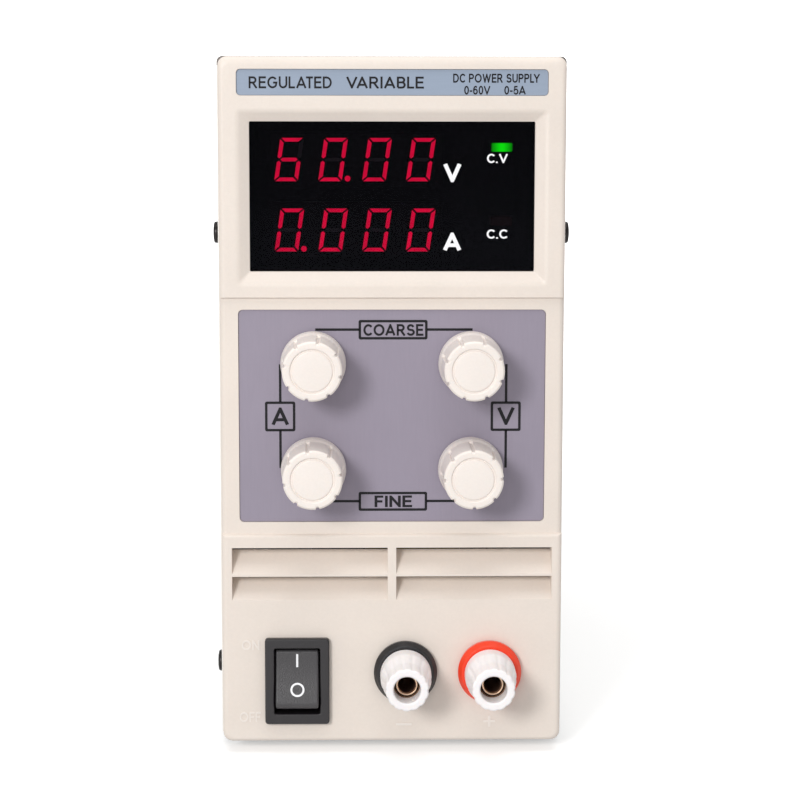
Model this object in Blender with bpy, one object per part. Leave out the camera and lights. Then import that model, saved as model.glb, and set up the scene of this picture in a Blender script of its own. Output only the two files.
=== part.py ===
"""A bench power supply: a tall narrow case with a moulded front, two LED displays, four knobs, a rocker
switch, two binding posts, and a fan, mains inlet and voltage selector at the rear.

Units are metres and +Z is up. The front faces -Y, the feet stand on z = 0, and the world's origin is the
middle of the footprint. Every piece hangs from an empty at the front datum, the bottom middle of the front
face, so the places below are (x to the right, y into the case, z up) from there.
"""

import math

import bmesh
import bpy
from mathutils import Matrix, Vector

MM = 0.001
GAP = 0.3 * MM  # between pieces that touch
THROUGH = 1.0 * MM  # how far a cutter runs past the face it opens

# Case
PANEL_WIDTH = 80.2 * MM
PANEL_HEIGHT = 161.0 * MM
PANEL_CORNER = 2.2 * MM
EDGE_ROUND = 1.3 * MM
BEZEL_DEPTH = 7.7 * MM
SKIRT_DEPTH = 26.5 * MM
SKIRT_LOW = 1.8 * MM
FRONT_WALL = 4.0 * MM
SIDE_WALL = 2.4 * MM
COVER_PROUD = 0.6 * MM  # cover past the panel, each side
COVER_OVER = 0.5 * MM  # cover above the panel
SHEET = 0.8 * MM
COVER_BEND = 1.2 * MM
FLOOR_SHEET = 1.0 * MM
CASE_LOW = 0.4 * MM  # underside of the case above the panel's bottom edge
CASE_DEPTH = 210.0 * MM
REAR_WALL_OUT = 209.2 * MM  # outer face of the rear wall
FRONT_REACH = 17.9 * MM  # binding posts ahead of the front face
REAR_REACH = 213.0 * MM  # fuse drawer's lip behind the front face
FOOT_LIFT = 3.0 * MM  # panel's bottom edge above the bench

# Front face, upper section
NAME_PLATE = (35.9 * MM, 152.3 * MM, 158.5 * MM)  # half width, bottom, top
NAME_PLATE_CORNER = 1.2 * MM
BEVEL = (36.1 * MM, 108.5 * MM, 149.5 * MM)
WINDOW = (33.0 * MM, 111.9 * MM, 146.5 * MM)
BEVEL_DEPTH = 2.6 * MM
WINDOW_SEAT = 3.0 * MM
WINDOW_LAP = 2.1 * MM  # window sheet hidden behind the bevel, each side
WINDOW_THICK = 2.0 * MM

# Front face, control section
CONTROL_LOW = 50.2 * MM
CONTROL_HIGH = 105.8 * MM
CONTROL_DEPTH = 0.9 * MM
OVERLAY = (35.9 * MM, 52.9 * MM, 103.2 * MM)
OVERLAY_CORNER = 2.0 * MM
LABEL_POCKET = 1.0 * MM
LABEL_THICK = 0.3 * MM
KNOB_X = 18.4 * MM
KNOB_COARSE_Z = 90.5 * MM
KNOB_FINE_Z = 65.6 * MM

# Front face, louvres: z of the flush lower edge and of the deep upper edge
LOUVRE_ROWS = ((34.4 * MM, 40.05 * MM), (40.6 * MM, 46.95 * MM))
LOUVRE_SPANS = ((-37.7 * MM, -1.0 * MM), (1.0 * MM, 37.7 * MM))
LOUVRE_DEPTH = 4.8 * MM

# Displays
DISPLAY_X = -8.3 * MM
DISPLAY_Z = {"voltage_display": 137.5 * MM, "current_display": 121.3 * MM}
DISPLAY_SIZE = (40.2 * MM, 6.7 * MM, 12.9 * MM)
DISPLAY_FACE = 6.3 * MM
STATUS_LED_X = 25.6 * MM
STATUS_LED_Z = {"cv_led": 140.5 * MM, "cc_led": 123.3 * MM}
STATUS_LED_SIZE = (5.0 * MM, 6.7 * MM, 2.1 * MM)
DISPLAY_BOARD = (35.5 * MM, 106.0 * MM, 150.5 * MM)
BOARD_THICK = 1.6 * MM

# Knobs and their potentiometers
KNOB_FRONT = -14.9 * MM
KNOB_BACK = 0.8 * MM
KNOB_SKIRT_RADIUS = 7.68 * MM
KNOB_CAP_RADIUS = 6.75 * MM
KNOB_SKIRT_FRONT = -2.6 * MM  # where the skirt steps in to the cap
KNOB_DRAFT = 0.2 * MM
KNOB_EDGE = 0.5 * MM
KNOB_CAVITY_RADIUS = 5.9 * MM  # room for the bushing
SHAFT_RADIUS = 3.0 * MM
SHAFT_TIP = -10.7 * MM
SHAFT_END = 10.2 * MM
BUSHING_RADIUS = 4.5 * MM
BUSHING_TIP = -1.6 * MM
POT_RADIUS = 8.0 * MM
POT_DEPTH = 8.0 * MM

# Rocker switch
SWITCH_X = -22.4 * MM
SWITCH_Z = 15.2 * MM
SWITCH_BEZEL = (15.2 * MM, 20.9 * MM)
SWITCH_BODY = (12.8 * MM, 18.7 * MM)
SWITCH_MOUTH = (10.8 * MM, 15.8 * MM)
SWITCH_BEZEL_FRONT = -1.9 * MM
SWITCH_BODY_DEPTH = 15.0 * MM
SWITCH_BACK_WALL = 3.0 * MM
SWITCH_EDGE = 0.4 * MM
SWITCH_CORNER = 1.2 * MM
ROCKER_WIDTH = 10.1 * MM
ROCKER_HALF = 6.9 * MM
ROCKER_PIVOT_Y = 1.5 * MM
ROCKER_FACE = 4.1 * MM  # face's ends ahead of the pivot
ROCKER_DISH = 0.8 * MM
ROCKER_SHOULDER = 0.5 * MM  # ends' lower edge ahead of the pivot
ROCKER_BACK = (4.0 * MM, 3.5 * MM)  # depth and half length of the back
ROCKER_TILT = math.radians(11)  # on at rest: the upper end pressed in
PIVOT_PIN_RADIUS = 0.9 * MM

# Binding posts
POST_X = {"negative": 3.2 * MM, "positive": 23.1 * MM}
POST_Z = 17.2 * MM
COLLAR_RADIUS = 7.5 * MM
COLLAR_FRONT = -3.0 * MM
COLLAR_EDGE = 0.7 * MM
CAP_BASE_RADIUS = 5.9 * MM
CAP_TIP_RADIUS = 5.0 * MM
CAP_MOUTH_RADIUS = 3.15 * MM
CAP_EDGE = 0.5 * MM
CAP_NECK = (5.2 * MM, -11.9 * MM)  # radius and y where the fluted end meets the base's cone
CAP_CONE_Y = -7.8 * MM  # where the cone meets the straight base
STUD_RADIUS = 2.6 * MM
STUD_BORE_RADIUS = 2.0 * MM
STUD_FACE = -12.9 * MM
STUD_END = 16.0 * MM
STUD_SIDES = 16
POST_CLEARANCE = 1.0 * MM
STUD_BORE_DEPTH = 20.0 * MM
WIRE_HOLE_RADIUS = 1.0 * MM
WIRE_HOLE_Y = -4.6 * MM
INSERT_RADII = (2.9 * MM, 3.9 * MM)
INSERT_SPAN = (-12.5 * MM, -4.0 * MM)
NUT_ACROSS = 10.0 * MM
NUT_THICK = 3.0 * MM

# Cover screws: (side, y, z); the head stands proud of the cover
SCREWS = {
    "cover_screw_front_left_upper": (-1, 12.5 * MM, 120.4 * MM),
    "cover_screw_front_left_lower": (-1, 16.0 * MM, 15.9 * MM),
    "cover_screw_front_right_upper": (1, 12.5 * MM, 120.4 * MM),
    "cover_screw_front_right_lower": (1, 22.5 * MM, 15.9 * MM),
    "cover_screw_rear_left_upper": (-1, 203.0 * MM, 145.0 * MM),
    "cover_screw_rear_left_lower": (-1, 203.0 * MM, 17.0 * MM),
    "cover_screw_rear_right_upper": (1, 203.0 * MM, 145.0 * MM),
    "cover_screw_rear_right_lower": (1, 203.0 * MM, 17.0 * MM),
}
SCREW_HEAD_RADIUS = 2.6 * MM
SCREW_HEAD_HEIGHT = 1.3 * MM
SCREW_RADIUS = 1.5 * MM
SCREW_LENGTH = 5.5 * MM
SCREW_EDGE = 0.4 * MM
SCREW_DOME_RADIUS = 1.3 * MM  # flat top of the domed head

# Cover's side slots
SLOT_ROWS = (30.0 * MM, 62.0 * MM)  # bottom of each row
SLOT_HEIGHT = 24.0 * MM
SLOT_WIDTH = 2.5 * MM
SLOT_FIRST_Y = 96.0 * MM
SLOT_PITCH = 8.0 * MM
SLOTS_PER_ROW = 9

# Chassis
CHASSIS_HALF = 39.5 * MM
FLANGE_HEIGHT = 14.0 * MM
REAR_FLANGE_Y = 198.0 * MM
FEET = {
    "foot_front_left": (-30.0 * MM, 24.0 * MM),
    "foot_front_right": (30.0 * MM, 24.0 * MM),
    "foot_rear_left": (-30.0 * MM, 190.0 * MM),
    "foot_rear_right": (30.0 * MM, 190.0 * MM),
}
FOOT_RADIUS = 6.3 * MM
FOOT_RECESS_RADIUS = 2.0 * MM
FOOT_RECESS_DEPTH = 1.5 * MM
FOOT_TREAD_RADIUS = 5.2 * MM
FOOT_EDGE = 0.4 * MM

# Fan
FAN_Z = 122.0 * MM
FAN_SIDE = 60.0 * MM
FAN_SPAN = (187.6 * MM, 207.9 * MM)
FAN_BORE_RADIUS = 28.5 * MM
FAN_HUB_RADIUS = 13.0 * MM
FAN_BACK_PLATE = 3.0 * MM
FAN_STRUT_HALF = 1.5 * MM
FAN_PIN_RADIUS = 1.5 * MM
FAN_HUB_EDGE = 1.0 * MM
FAN_SCREW_OFFSET = 25.0 * MM
FAN_SCREW_HOLE_RADIUS = 2.2 * MM
FAN_CORNER = 3.0 * MM
EYELET_RADIUS = 3.8 * MM
FAN_BLADES = 7
BLADE_TIP_RADIUS = 27.5 * MM
BLADE_THICK = 1.2 * MM
BLADE_INSET = 0.5 * MM
BLADE_SWEEPS = (5.5 * MM, 8.5 * MM)  # half chord across the axis, at the root and the tip
IMPELLER_SPAN = (191.2 * MM, 201.5 * MM)
GUARD_RINGS = (4.5 * MM, 9.1 * MM, 13.7 * MM, 18.3 * MM, 22.9 * MM, 27.5 * MM)
GUARD_WIRE = 1.4 * MM
REAR_FAN_HOLE_RADIUS = 27.0 * MM

# Mains inlet with its fuse drawer
INLET_Z = 30.5 * MM  # middle of the connector's recess
INLET_FLANGE = (15.5 * MM, 8.0 * MM, 46.0 * MM)  # half width, bottom, top
INLET_BODY = (13.4 * MM, 10.0 * MM, 44.0 * MM)
INLET_FRONT = 186.0 * MM
INLET_BACK = 212.0 * MM
INLET_RECESS = (24.4 * MM, 16.4 * MM)
INLET_RECESS_DEPTH = 17.0 * MM
INLET_CORNER = 2.0 * MM
INLET_CHAMFER = 4.0 * MM  # the recess's two upper corners
PIN_X = 7.0 * MM
EARTH_RISE = 4.0 * MM
PIN_SIZE = (2.0 * MM, 4.0 * MM)
PIN_LENGTH = 14.0 * MM
FUSE_DRAWER = (10.7 * MM, 11.9 * MM, 18.1 * MM)
FUSE_DRAWER_FRONT = 190.5 * MM
FUSE_LIP = 2.0 * MM  # height of the finger lip

# Mains voltage selector
SELECTOR_Z = 62.0 * MM
SELECTOR_BODY = (21.0 * MM, 12.0 * MM)
SELECTOR_NECK = (15.4 * MM, 8.0 * MM)
SELECTOR_RECESS = (13.2 * MM, 5.8 * MM)
SELECTOR_FRONT = 198.0 * MM
SELECTOR_RECESS_DEPTH = 3.0 * MM
SLIDER_WIDTH = 6.3 * MM
SLIDER_HEIGHT = 5.2 * MM
SLIDER_BELOW = 0.4 * MM  # slider's face below the neck's face
GROOVE_HALF = 0.5 * MM
GROOVE_DEPTH = 1.0 * MM

# Inside
MAIN_BOARD = ((-35.0 * MM, 45.0 * MM, 6.3 * MM), (35.0 * MM, 180.0 * MM, 7.9 * MM))
STANDOFF_RADIUS = 3.0 * MM
STANDOFF_INSET = 5.0 * MM
ON_BOARD = MAIN_BOARD[1][2] + GAP
CAPACITORS = {"bulk_capacitor_left": -14.0 * MM, "bulk_capacitor_right": 14.0 * MM}
CAPACITOR_Y = 165.0 * MM
CAPACITOR_RADIUS = 11.0 * MM
CAPACITOR_HEIGHT = 40.0 * MM
CAPACITOR_EDGE = 0.8 * MM
TRANSFORMER_AT = (8.0 * MM, 110.0 * MM)
CORE_SIZE = (42.0 * MM, 14.0 * MM, 36.0 * MM)
CORE_YOKE = 6.0 * MM
WINDING_RADIUS = 14.0 * MM
HEATSINK_SPAN = (60.0 * MM, 135.0 * MM)
HEATSINK_X = -34.0 * MM
HEATSINK_FINS = 7
HEATSINK_DEPTHS = (3.0 * MM, 13.0 * MM)  # plate alone, and with its fins
HEATSINK_FIN = 1.6 * MM
HEATSINK_PITCH = 7.0 * MM
INDUCTOR_AT = (16.0 * MM, 66.0 * MM)
INDUCTOR_RADII = (6.0 * MM, 15.0 * MM)
INDUCTOR_HEIGHT = 11.0 * MM
INDUCTOR_EDGE = 2.0 * MM

FRONT_Y = (FRONT_REACH - REAR_REACH) / 2  # front face in the world
CORNER_STEPS = 3
TURNED_SIDES = 24
FAN_SIDES = 32
SMALL_SIDES = 12
SMOOTH_ANGLE = math.radians(40)

COLOURS = {  # linear colour, roughness, metallic
    "cream_plastic": ((0.83, 0.76, 0.69), 0.42, 0.0),
    "cover_paint": ((0.86, 0.84, 0.80), 0.45, 0.0),
    "zinc_steel": ((0.58, 0.58, 0.57), 0.35, 1.0),
    "foot_rubber": ((0.03, 0.03, 0.03), 0.85, 0.0),
    "black_steel": ((0.03, 0.03, 0.03), 0.35, 1.0),
    "name_label": ((0.37, 0.45, 0.53), 0.5, 0.0),
    "window_acrylic": ((0.004, 0.004, 0.005), 0.05, 0.0),
    "overlay_film": ((0.37, 0.34, 0.39), 0.5, 0.0),
    "circuit_board": ((0.02, 0.16, 0.06), 0.5, 0.0),
    "display_epoxy": ((0.01, 0.01, 0.01), 0.4, 0.0),
    "green_lens": ((0.02, 0.58, 0.03), 0.25, 0.0),
    "red_lens": ((0.12, 0.02, 0.02), 0.25, 0.0),
    "knob_plastic": ((0.90, 0.85, 0.80), 0.38, 0.0),
    "turned_steel": ((0.62, 0.62, 0.62), 0.3, 1.0),
    "pot_metal": ((0.5, 0.5, 0.48), 0.4, 1.0),
    "switch_plastic": ((0.04, 0.04, 0.04), 0.4, 0.0),
    "rocker_plastic": ((0.08, 0.08, 0.08), 0.35, 0.0),
    "post_white": ((0.90, 0.88, 0.88), 0.35, 0.0),
    "post_red": ((0.92, 0.10, 0.05), 0.35, 0.0),
    "post_black": ((0.03, 0.03, 0.03), 0.4, 0.0),
    "brass": ((0.78, 0.60, 0.34), 0.3, 1.0),
    "fan_plastic": ((0.02, 0.02, 0.02), 0.45, 0.0),
    "chromed_wire": ((0.8, 0.8, 0.8), 0.15, 1.0),
    "inlet_plastic": ((0.025, 0.025, 0.025), 0.4, 0.0),
    "selector_red": ((0.6, 0.03, 0.02), 0.4, 0.0),
    "capacitor_sleeve": ((0.02, 0.03, 0.10), 0.35, 0.0),
    "transformer_core": ((0.10, 0.09, 0.08), 0.6, 0.0),
    "heatsink_alloy": ((0.45, 0.46, 0.47), 0.4, 1.0),
    "copper_winding": ((0.70, 0.28, 0.12), 0.35, 1.0),
}


def clear_scene():
    for obj in list(bpy.data.objects):
        bpy.data.objects.remove(obj, do_unlink=True)


def make_materials():
    made = {}
    for name, (colour, roughness, metallic) in COLOURS.items():
        material = bpy.data.materials.new(name)
        material.use_nodes = True
        shader = material.node_tree.nodes["Principled BSDF"]
        shader.inputs["Base Color"].default_value = (*colour, 1.0)
        shader.inputs["Roughness"].default_value = roughness
        shader.inputs["Metallic"].default_value = metallic
        made[name] = material
    return made


# Shapes. Each returns a bmesh, closed and facing out.


def loft(loops):
    """A solid through flat loops of equal length, capped at both ends."""
    bm = bmesh.new()
    rings = [[bm.verts.new(point) for point in loop] for loop in loops]
    for near, far in zip(rings, rings[1:]):
        for i, corner in enumerate(near):
            j = (i + 1) % len(near)
            bm.faces.new((corner, near[j], far[j], far[i]))
    bm.faces.new(rings[0])
    bm.faces.new(rings[-1])
    bmesh.ops.recalc_face_normals(bm, faces=bm.faces)
    return bm


def at_depth(outline, y):
    return [(x, y, z) for x, z in outline]


def prism(outline, y_near, y_far):
    return loft([at_depth(outline, y_near), at_depth(outline, y_far)])


def rectangle(half_width, low, high, middle=0.0):
    return [
        (middle - half_width, low),
        (middle + half_width, low),
        (middle + half_width, high),
        (middle - half_width, high),
    ]


def rounded(half_width, low, high, radius, middle=0.0):
    """A rectangle's outline with round corners, starting at the lower left."""
    corners = (
        (middle - half_width + radius, low + radius, math.pi),
        (middle + half_width - radius, low + radius, 1.5 * math.pi),
        (middle + half_width - radius, high - radius, 0.0),
        (middle - half_width + radius, high - radius, 0.5 * math.pi),
    )
    outline = []
    for x, z, start in corners:
        for step in range(CORNER_STEPS + 1):
            angle = start + step * 0.5 * math.pi / CORNER_STEPS
            outline.append((x + radius * math.cos(angle), z + radius * math.sin(angle)))
    return outline


def circle(radius, sides, x=0.0, z=0.0, start=0.0):
    turn = 2 * math.pi / sides
    return [
        (x + radius * math.cos(start + k * turn), z + radius * math.sin(start + k * turn))
        for k in range(sides)
    ]


def block(low, high):
    middle = (low[0] + high[0]) / 2
    outline = rectangle((high[0] - low[0]) / 2, low[2], high[2], middle)
    return prism(outline, low[1], high[1])


def turned(profile, sides=TURNED_SIDES, closed=False):
    """A solid turned about Y from (radius, y) points. A closed profile makes a ring; an open one starts and
    ends on the axis."""
    bm = bmesh.new()
    rings = []
    for radius, y in profile:
        if radius == 0:
            rings.append([bm.verts.new((0, y, 0))])
        else:
            rings.append([bm.verts.new((x, y, z)) for x, z in circle(radius, sides)])
    pairs = list(zip(rings, rings[1:]))
    if closed:
        pairs.append((rings[-1], rings[0]))
    for near, far in pairs:
        for k in range(sides):
            n = (k + 1) % sides
            corners = (near[k % len(near)], near[n % len(near)], far[n % len(far)], far[k % len(far)])
            bm.faces.new(list(dict.fromkeys(corners)))
    bmesh.ops.recalc_face_normals(bm, faces=bm.faces)
    return bm


def moved(bm, offset):
    bmesh.ops.translate(bm, verts=bm.verts, vec=Vector(offset))
    return bm


def aimed(bm, axis):
    """The shape turned so that what ran along +Y runs along +X, -X, +Z or -Z."""
    turn = Vector((0, 1, 0)).rotation_difference(Vector(axis)).to_matrix()
    bmesh.ops.rotate(bm, verts=bm.verts, cent=Vector(), matrix=turn)
    return bm


def joined(parts):
    """Several shapes as one bmesh, for a cutter that cuts in several places."""
    whole = bmesh.new()
    carrier = bpy.data.meshes.new("carrier")
    for part in parts:
        part.to_mesh(carrier)
        part.free()
        whole.from_mesh(carrier)
    bpy.data.meshes.remove(carrier)
    return whole


# Objects


def place_object(name, bm, datum, at):
    mesh = bpy.data.meshes.new(name)
    bm.to_mesh(mesh)
    bm.free()
    obj = bpy.data.objects.new(name, mesh)
    obj.parent = datum
    obj.location = at
    bpy.context.scene.collection.objects.link(obj)
    return obj


def add_node(name, bm, material, datum, at=(0, 0, 0)):
    obj = place_object(name, bm, datum, at)
    obj.data.materials.append(material)
    obj.data.shade_smooth()
    obj.data.set_sharp_from_angle(angle=SMOOTH_ANGLE)
    return obj


def add_boolean(obj, operation, shapes):
    tool = place_object(f"{obj.name}_tool", joined(shapes), obj.parent, obj.location)
    tool.hide_render = True
    tool.display_type = "WIRE"
    modifier = obj.modifiers.new(operation.lower(), "BOOLEAN")
    modifier.operation = operation
    modifier.object = tool


def cut(obj, *shapes):
    add_boolean(obj, "DIFFERENCE", shapes)


def unite(obj, *shapes):
    add_boolean(obj, "UNION", shapes)


def side_hole(radius, y, z, x_from, x_to):
    hole = prism(circle(radius, SMALL_SIDES), x_from, x_to)
    return moved(aimed(hole, (1, 0, 0)), (0, y, z))


# Front


def panel_outline(inset):
    half = PANEL_WIDTH / 2 - inset
    return rounded(half, inset, PANEL_HEIGHT - inset, PANEL_CORNER - inset / 2)


def skirt_outline():
    top = PANEL_HEIGHT + COVER_OVER - SHEET - GAP
    return rounded(CHASSIS_HALF, SKIRT_LOW, top, PANEL_CORNER)


def louvre(span, row):
    """The wedge-shaped recess of one louvre. It breaks through the wall along its deep upper edge."""
    flush, deep = row
    slope = LOUVRE_DEPTH / (deep - flush)
    profile = [
        (flush - THROUGH / slope, -THROUGH),
        (deep, -THROUGH),
        (deep, LOUVRE_DEPTH),
    ]
    return loft([[(x, y, z) for z, y in profile] for x in span])


def knob_places():
    return {
        "current_coarse": (-KNOB_X, KNOB_COARSE_Z),
        "voltage_coarse": (KNOB_X, KNOB_COARSE_Z),
        "current_fine": (-KNOB_X, KNOB_FINE_Z),
        "voltage_fine": (KNOB_X, KNOB_FINE_Z),
    }


def bushing_holes(y_near, y_far):
    radius = BUSHING_RADIUS + GAP
    return [prism(circle(radius, 16, x, z), y_near, y_far) for x, z in knob_places().values()]


def pocket(label, corner, y_near, y_far):
    half, low, high = label
    ease = GAP / 2
    return prism(rounded(half + ease, low - ease, high + ease, corner), y_near, y_far)


def front_panel(paint, datum):
    halfway = EDGE_ROUND * (1 - math.sin(math.pi / 4))
    loops = [
        at_depth(panel_outline(EDGE_ROUND), 0),
        at_depth(panel_outline(halfway), halfway),
        at_depth(panel_outline(0), EDGE_ROUND),
        at_depth(panel_outline(0), BEZEL_DEPTH),
        at_depth(skirt_outline(), BEZEL_DEPTH),
        at_depth(skirt_outline(), SKIRT_DEPTH),
    ]
    panel = add_node("front_panel", loft(loops), paint, datum)
    inner_half = PANEL_WIDTH / 2 - SIDE_WALL
    inner = rounded(inner_half, SIDE_WALL + SKIRT_LOW, PANEL_HEIGHT - SIDE_WALL, PANEL_CORNER)
    cut(panel, prism(inner, FRONT_WALL, SKIRT_DEPTH + THROUGH))
    across = PANEL_WIDTH / 2 + THROUGH
    cut(
        panel,
        prism(rectangle(across, CONTROL_LOW, CONTROL_HIGH), -THROUGH, CONTROL_DEPTH),
        pocket(NAME_PLATE, NAME_PLATE_CORNER, -THROUGH, LABEL_POCKET),
        loft(
            [
                at_depth(rectangle(*BEVEL), -THROUGH),
                at_depth(rectangle(*BEVEL), 0),
                at_depth(rectangle(*WINDOW), BEVEL_DEPTH),
                at_depth(rectangle(*WINDOW), FRONT_WALL + THROUGH),
            ]
        ),
        *[louvre(span, row) for span in LOUVRE_SPANS for row in LOUVRE_ROWS],
        switch_cutout(),
        *post_holes(),
    )
    cut(
        panel,
        pocket(OVERLAY, OVERLAY_CORNER, CONTROL_DEPTH - THROUGH / 2, CONTROL_DEPTH + LABEL_POCKET),
        prism(window_outline(GAP), WINDOW_SEAT, FRONT_WALL + THROUGH),
    )
    cut(panel, *bushing_holes(CONTROL_DEPTH, FRONT_WALL + THROUGH), *screw_holes(FRONT_WALL, SKIRT_DEPTH))


def post_holes():
    radius = STUD_RADIUS + POST_CLEARANCE
    return [
        prism(circle(radius, STUD_SIDES, x, POST_Z), -THROUGH, FRONT_WALL + THROUGH)
        for x in POST_X.values()
    ]


def window_outline(ease=0.0):
    half, low, high = WINDOW
    return rectangle(half + WINDOW_LAP + ease, low - WINDOW_LAP - ease, high + WINDOW_LAP + ease)


def switch_cutout():
    half = SWITCH_BODY[0] / 2 + GAP
    reach = SWITCH_BODY[1] / 2 + GAP
    outline = rectangle(half, SWITCH_Z - reach, SWITCH_Z + reach, SWITCH_X)
    return prism(outline, -THROUGH, FRONT_WALL + THROUGH)


def label_sheet(name, label, corner, front, material, datum):
    half, low, high = label
    ease = GAP / 2
    outline = rounded(half - ease, low + ease, high - ease, corner)
    sheet = prism(outline, front, front + LABEL_THICK)
    return add_node(name, sheet, material, datum)


def labels_and_window(paints, datum):
    plate_front = LABEL_POCKET - GAP - LABEL_THICK
    label_sheet("name_plate", NAME_PLATE, NAME_PLATE_CORNER, plate_front, paints["name_label"], datum)
    overlay_front = CONTROL_DEPTH + plate_front
    overlay = label_sheet(
        "control_overlay", OVERLAY, OVERLAY_CORNER, overlay_front, paints["overlay_film"], datum
    )
    cut(overlay, *bushing_holes(0, FRONT_WALL))
    glass_front = WINDOW_SEAT + GAP
    glass = prism(window_outline(), glass_front, glass_front + WINDOW_THICK)
    add_node("display_window", glass, paints["window_acrylic"], datum)


def displays(paints, datum):
    width, depth, height = DISPLAY_SIZE
    for name, z in DISPLAY_Z.items():
        body = prism(rectangle(width / 2, -height / 2, height / 2), 0, depth)
        add_node(name, body, paints["display_epoxy"], datum, (DISPLAY_X, DISPLAY_FACE, z))
    width, depth, height = STATUS_LED_SIZE
    lenses = {"cv_led": "green_lens", "cc_led": "red_lens"}
    for name, z in STATUS_LED_Z.items():
        body = prism(rectangle(width / 2, -height / 2, height / 2), 0, depth)
        add_node(name, body, paints[lenses[name]], datum, (STATUS_LED_X, DISPLAY_FACE, z))
    near = DISPLAY_FACE + depth + GAP
    board = prism(rectangle(*DISPLAY_BOARD), near, near + BOARD_THICK)
    add_node("display_board", board, paints["circuit_board"], datum)


# Controls


def knob_shape():
    cavity_depth = BUSHING_TIP - 2 * GAP
    bore = SHAFT_RADIUS + GAP
    return turned(
        [
            (0, KNOB_FRONT),
            (KNOB_CAP_RADIUS - KNOB_EDGE, KNOB_FRONT),
            (KNOB_CAP_RADIUS, KNOB_FRONT + KNOB_EDGE),
            (KNOB_CAP_RADIUS + KNOB_DRAFT, KNOB_SKIRT_FRONT),
            (KNOB_SKIRT_RADIUS - KNOB_DRAFT, KNOB_SKIRT_FRONT + KNOB_EDGE),
            (KNOB_SKIRT_RADIUS, KNOB_BACK),
            (KNOB_CAVITY_RADIUS, KNOB_BACK),
            (KNOB_CAVITY_RADIUS, cavity_depth),
            (bore, cavity_depth),
            (bore, SHAFT_TIP - GAP),
            (0, SHAFT_TIP - GAP),
        ]
    )


def shaft_shape():
    return turned(
        [
            (0, SHAFT_TIP),
            (SHAFT_RADIUS, SHAFT_TIP),
            (SHAFT_RADIUS, SHAFT_END),
            (0, SHAFT_END),
        ],
        SMALL_SIDES,
    )


def pot_shape():
    bore = SHAFT_RADIUS + GAP
    body_front = FRONT_WALL + GAP
    return turned(
        [
            (0, SHAFT_END + GAP),
            (bore, SHAFT_END + GAP),
            (bore, BUSHING_TIP),
            (BUSHING_RADIUS, BUSHING_TIP),
            (BUSHING_RADIUS, body_front),
            (POT_RADIUS, body_front),
            (POT_RADIUS, body_front + POT_DEPTH),
            (0, body_front + POT_DEPTH),
        ],
        16,
    )


def knobs(paints, datum):
    for name, (x, z) in knob_places().items():
        at = (x, 0, z)
        add_node(f"{name}_knob", knob_shape(), paints["knob_plastic"], datum, at)
        add_node(f"{name}_shaft", shaft_shape(), paints["turned_steel"], datum, at)
        add_node(f"{name}_pot", pot_shape(), paints["pot_metal"], datum, at)


def rocker_profile():
    """(y, z) points about the pivot, tilted so that the upper end is pressed in."""
    back, back_half = ROCKER_BACK
    upright = [
        (-ROCKER_FACE, -ROCKER_HALF),
        (ROCKER_DISH - ROCKER_FACE, 0),
        (-ROCKER_FACE, ROCKER_HALF),
        (-ROCKER_SHOULDER, ROCKER_HALF),
        (back, back_half),
        (back, -back_half),
        (-ROCKER_SHOULDER, -ROCKER_HALF),
    ]
    cosine = math.cos(ROCKER_TILT)
    sine = math.sin(ROCKER_TILT)
    return [(y * cosine + z * sine, z * cosine - y * sine) for y, z in upright]


def switch(paints, datum):
    bezel_half = SWITCH_BEZEL[0] / 2
    bezel_reach = SWITCH_BEZEL[1] / 2
    soft = SWITCH_EDGE
    corner = SWITCH_CORNER
    softened = rounded(bezel_half - soft, soft - bezel_reach, bezel_reach - soft, corner - soft / 2)
    bezel = rounded(bezel_half, -bezel_reach, bezel_reach, corner)
    body_reach = SWITCH_BODY[1] / 2
    body = rounded(SWITCH_BODY[0] / 2, -body_reach, body_reach, corner / 2)
    loops = [
        at_depth(softened, SWITCH_BEZEL_FRONT),
        at_depth(bezel, SWITCH_BEZEL_FRONT + soft),
        at_depth(bezel, -GAP),
        at_depth(body, -GAP),
        at_depth(body, SWITCH_BODY_DEPTH),
    ]
    frame = add_node(
        "switch_frame", loft(loops), paints["switch_plastic"], datum, (SWITCH_X, 0, SWITCH_Z)
    )
    mouth = rectangle(SWITCH_MOUTH[0] / 2, -SWITCH_MOUTH[1] / 2, SWITCH_MOUTH[1] / 2)
    cut(frame, prism(mouth, SWITCH_BEZEL_FRONT - THROUGH, SWITCH_BODY_DEPTH - SWITCH_BACK_WALL))
    wall = SWITCH_BODY[0] / 2 + GAP / 2
    cut(frame, side_hole(PIVOT_PIN_RADIUS + GAP, ROCKER_PIVOT_Y, 0, -wall, wall))

    half = ROCKER_WIDTH / 2
    body = loft([[(x, y, z) for y, z in rocker_profile()] for x in (-half, half)])
    rocker = add_node(
        "switch_rocker", body, paints["rocker_plastic"], datum, (SWITCH_X, ROCKER_PIVOT_Y, SWITCH_Z)
    )
    pin_reach = SWITCH_BODY[0] / 2 - GAP
    unite(rocker, side_hole(PIVOT_PIN_RADIUS, 0, 0, -pin_reach, pin_reach))


# Binding posts


def post_cap_shape():
    base = COLLAR_FRONT - GAP
    tip = -FRONT_REACH
    bore = INSERT_RADII[1] + GAP
    shoulder = INSERT_SPAN[0] - GAP / 2
    return turned(
        [
            (CAP_MOUTH_RADIUS, tip),
            (CAP_TIP_RADIUS - CAP_EDGE, tip),
            (CAP_TIP_RADIUS, tip + CAP_EDGE),
            CAP_NECK,
            (CAP_BASE_RADIUS, CAP_CONE_Y),
            (CAP_BASE_RADIUS, base),
            (bore, base),
            (bore, shoulder),
            (CAP_MOUTH_RADIUS, shoulder),
        ],
        20,
        closed=True,
    )


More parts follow.
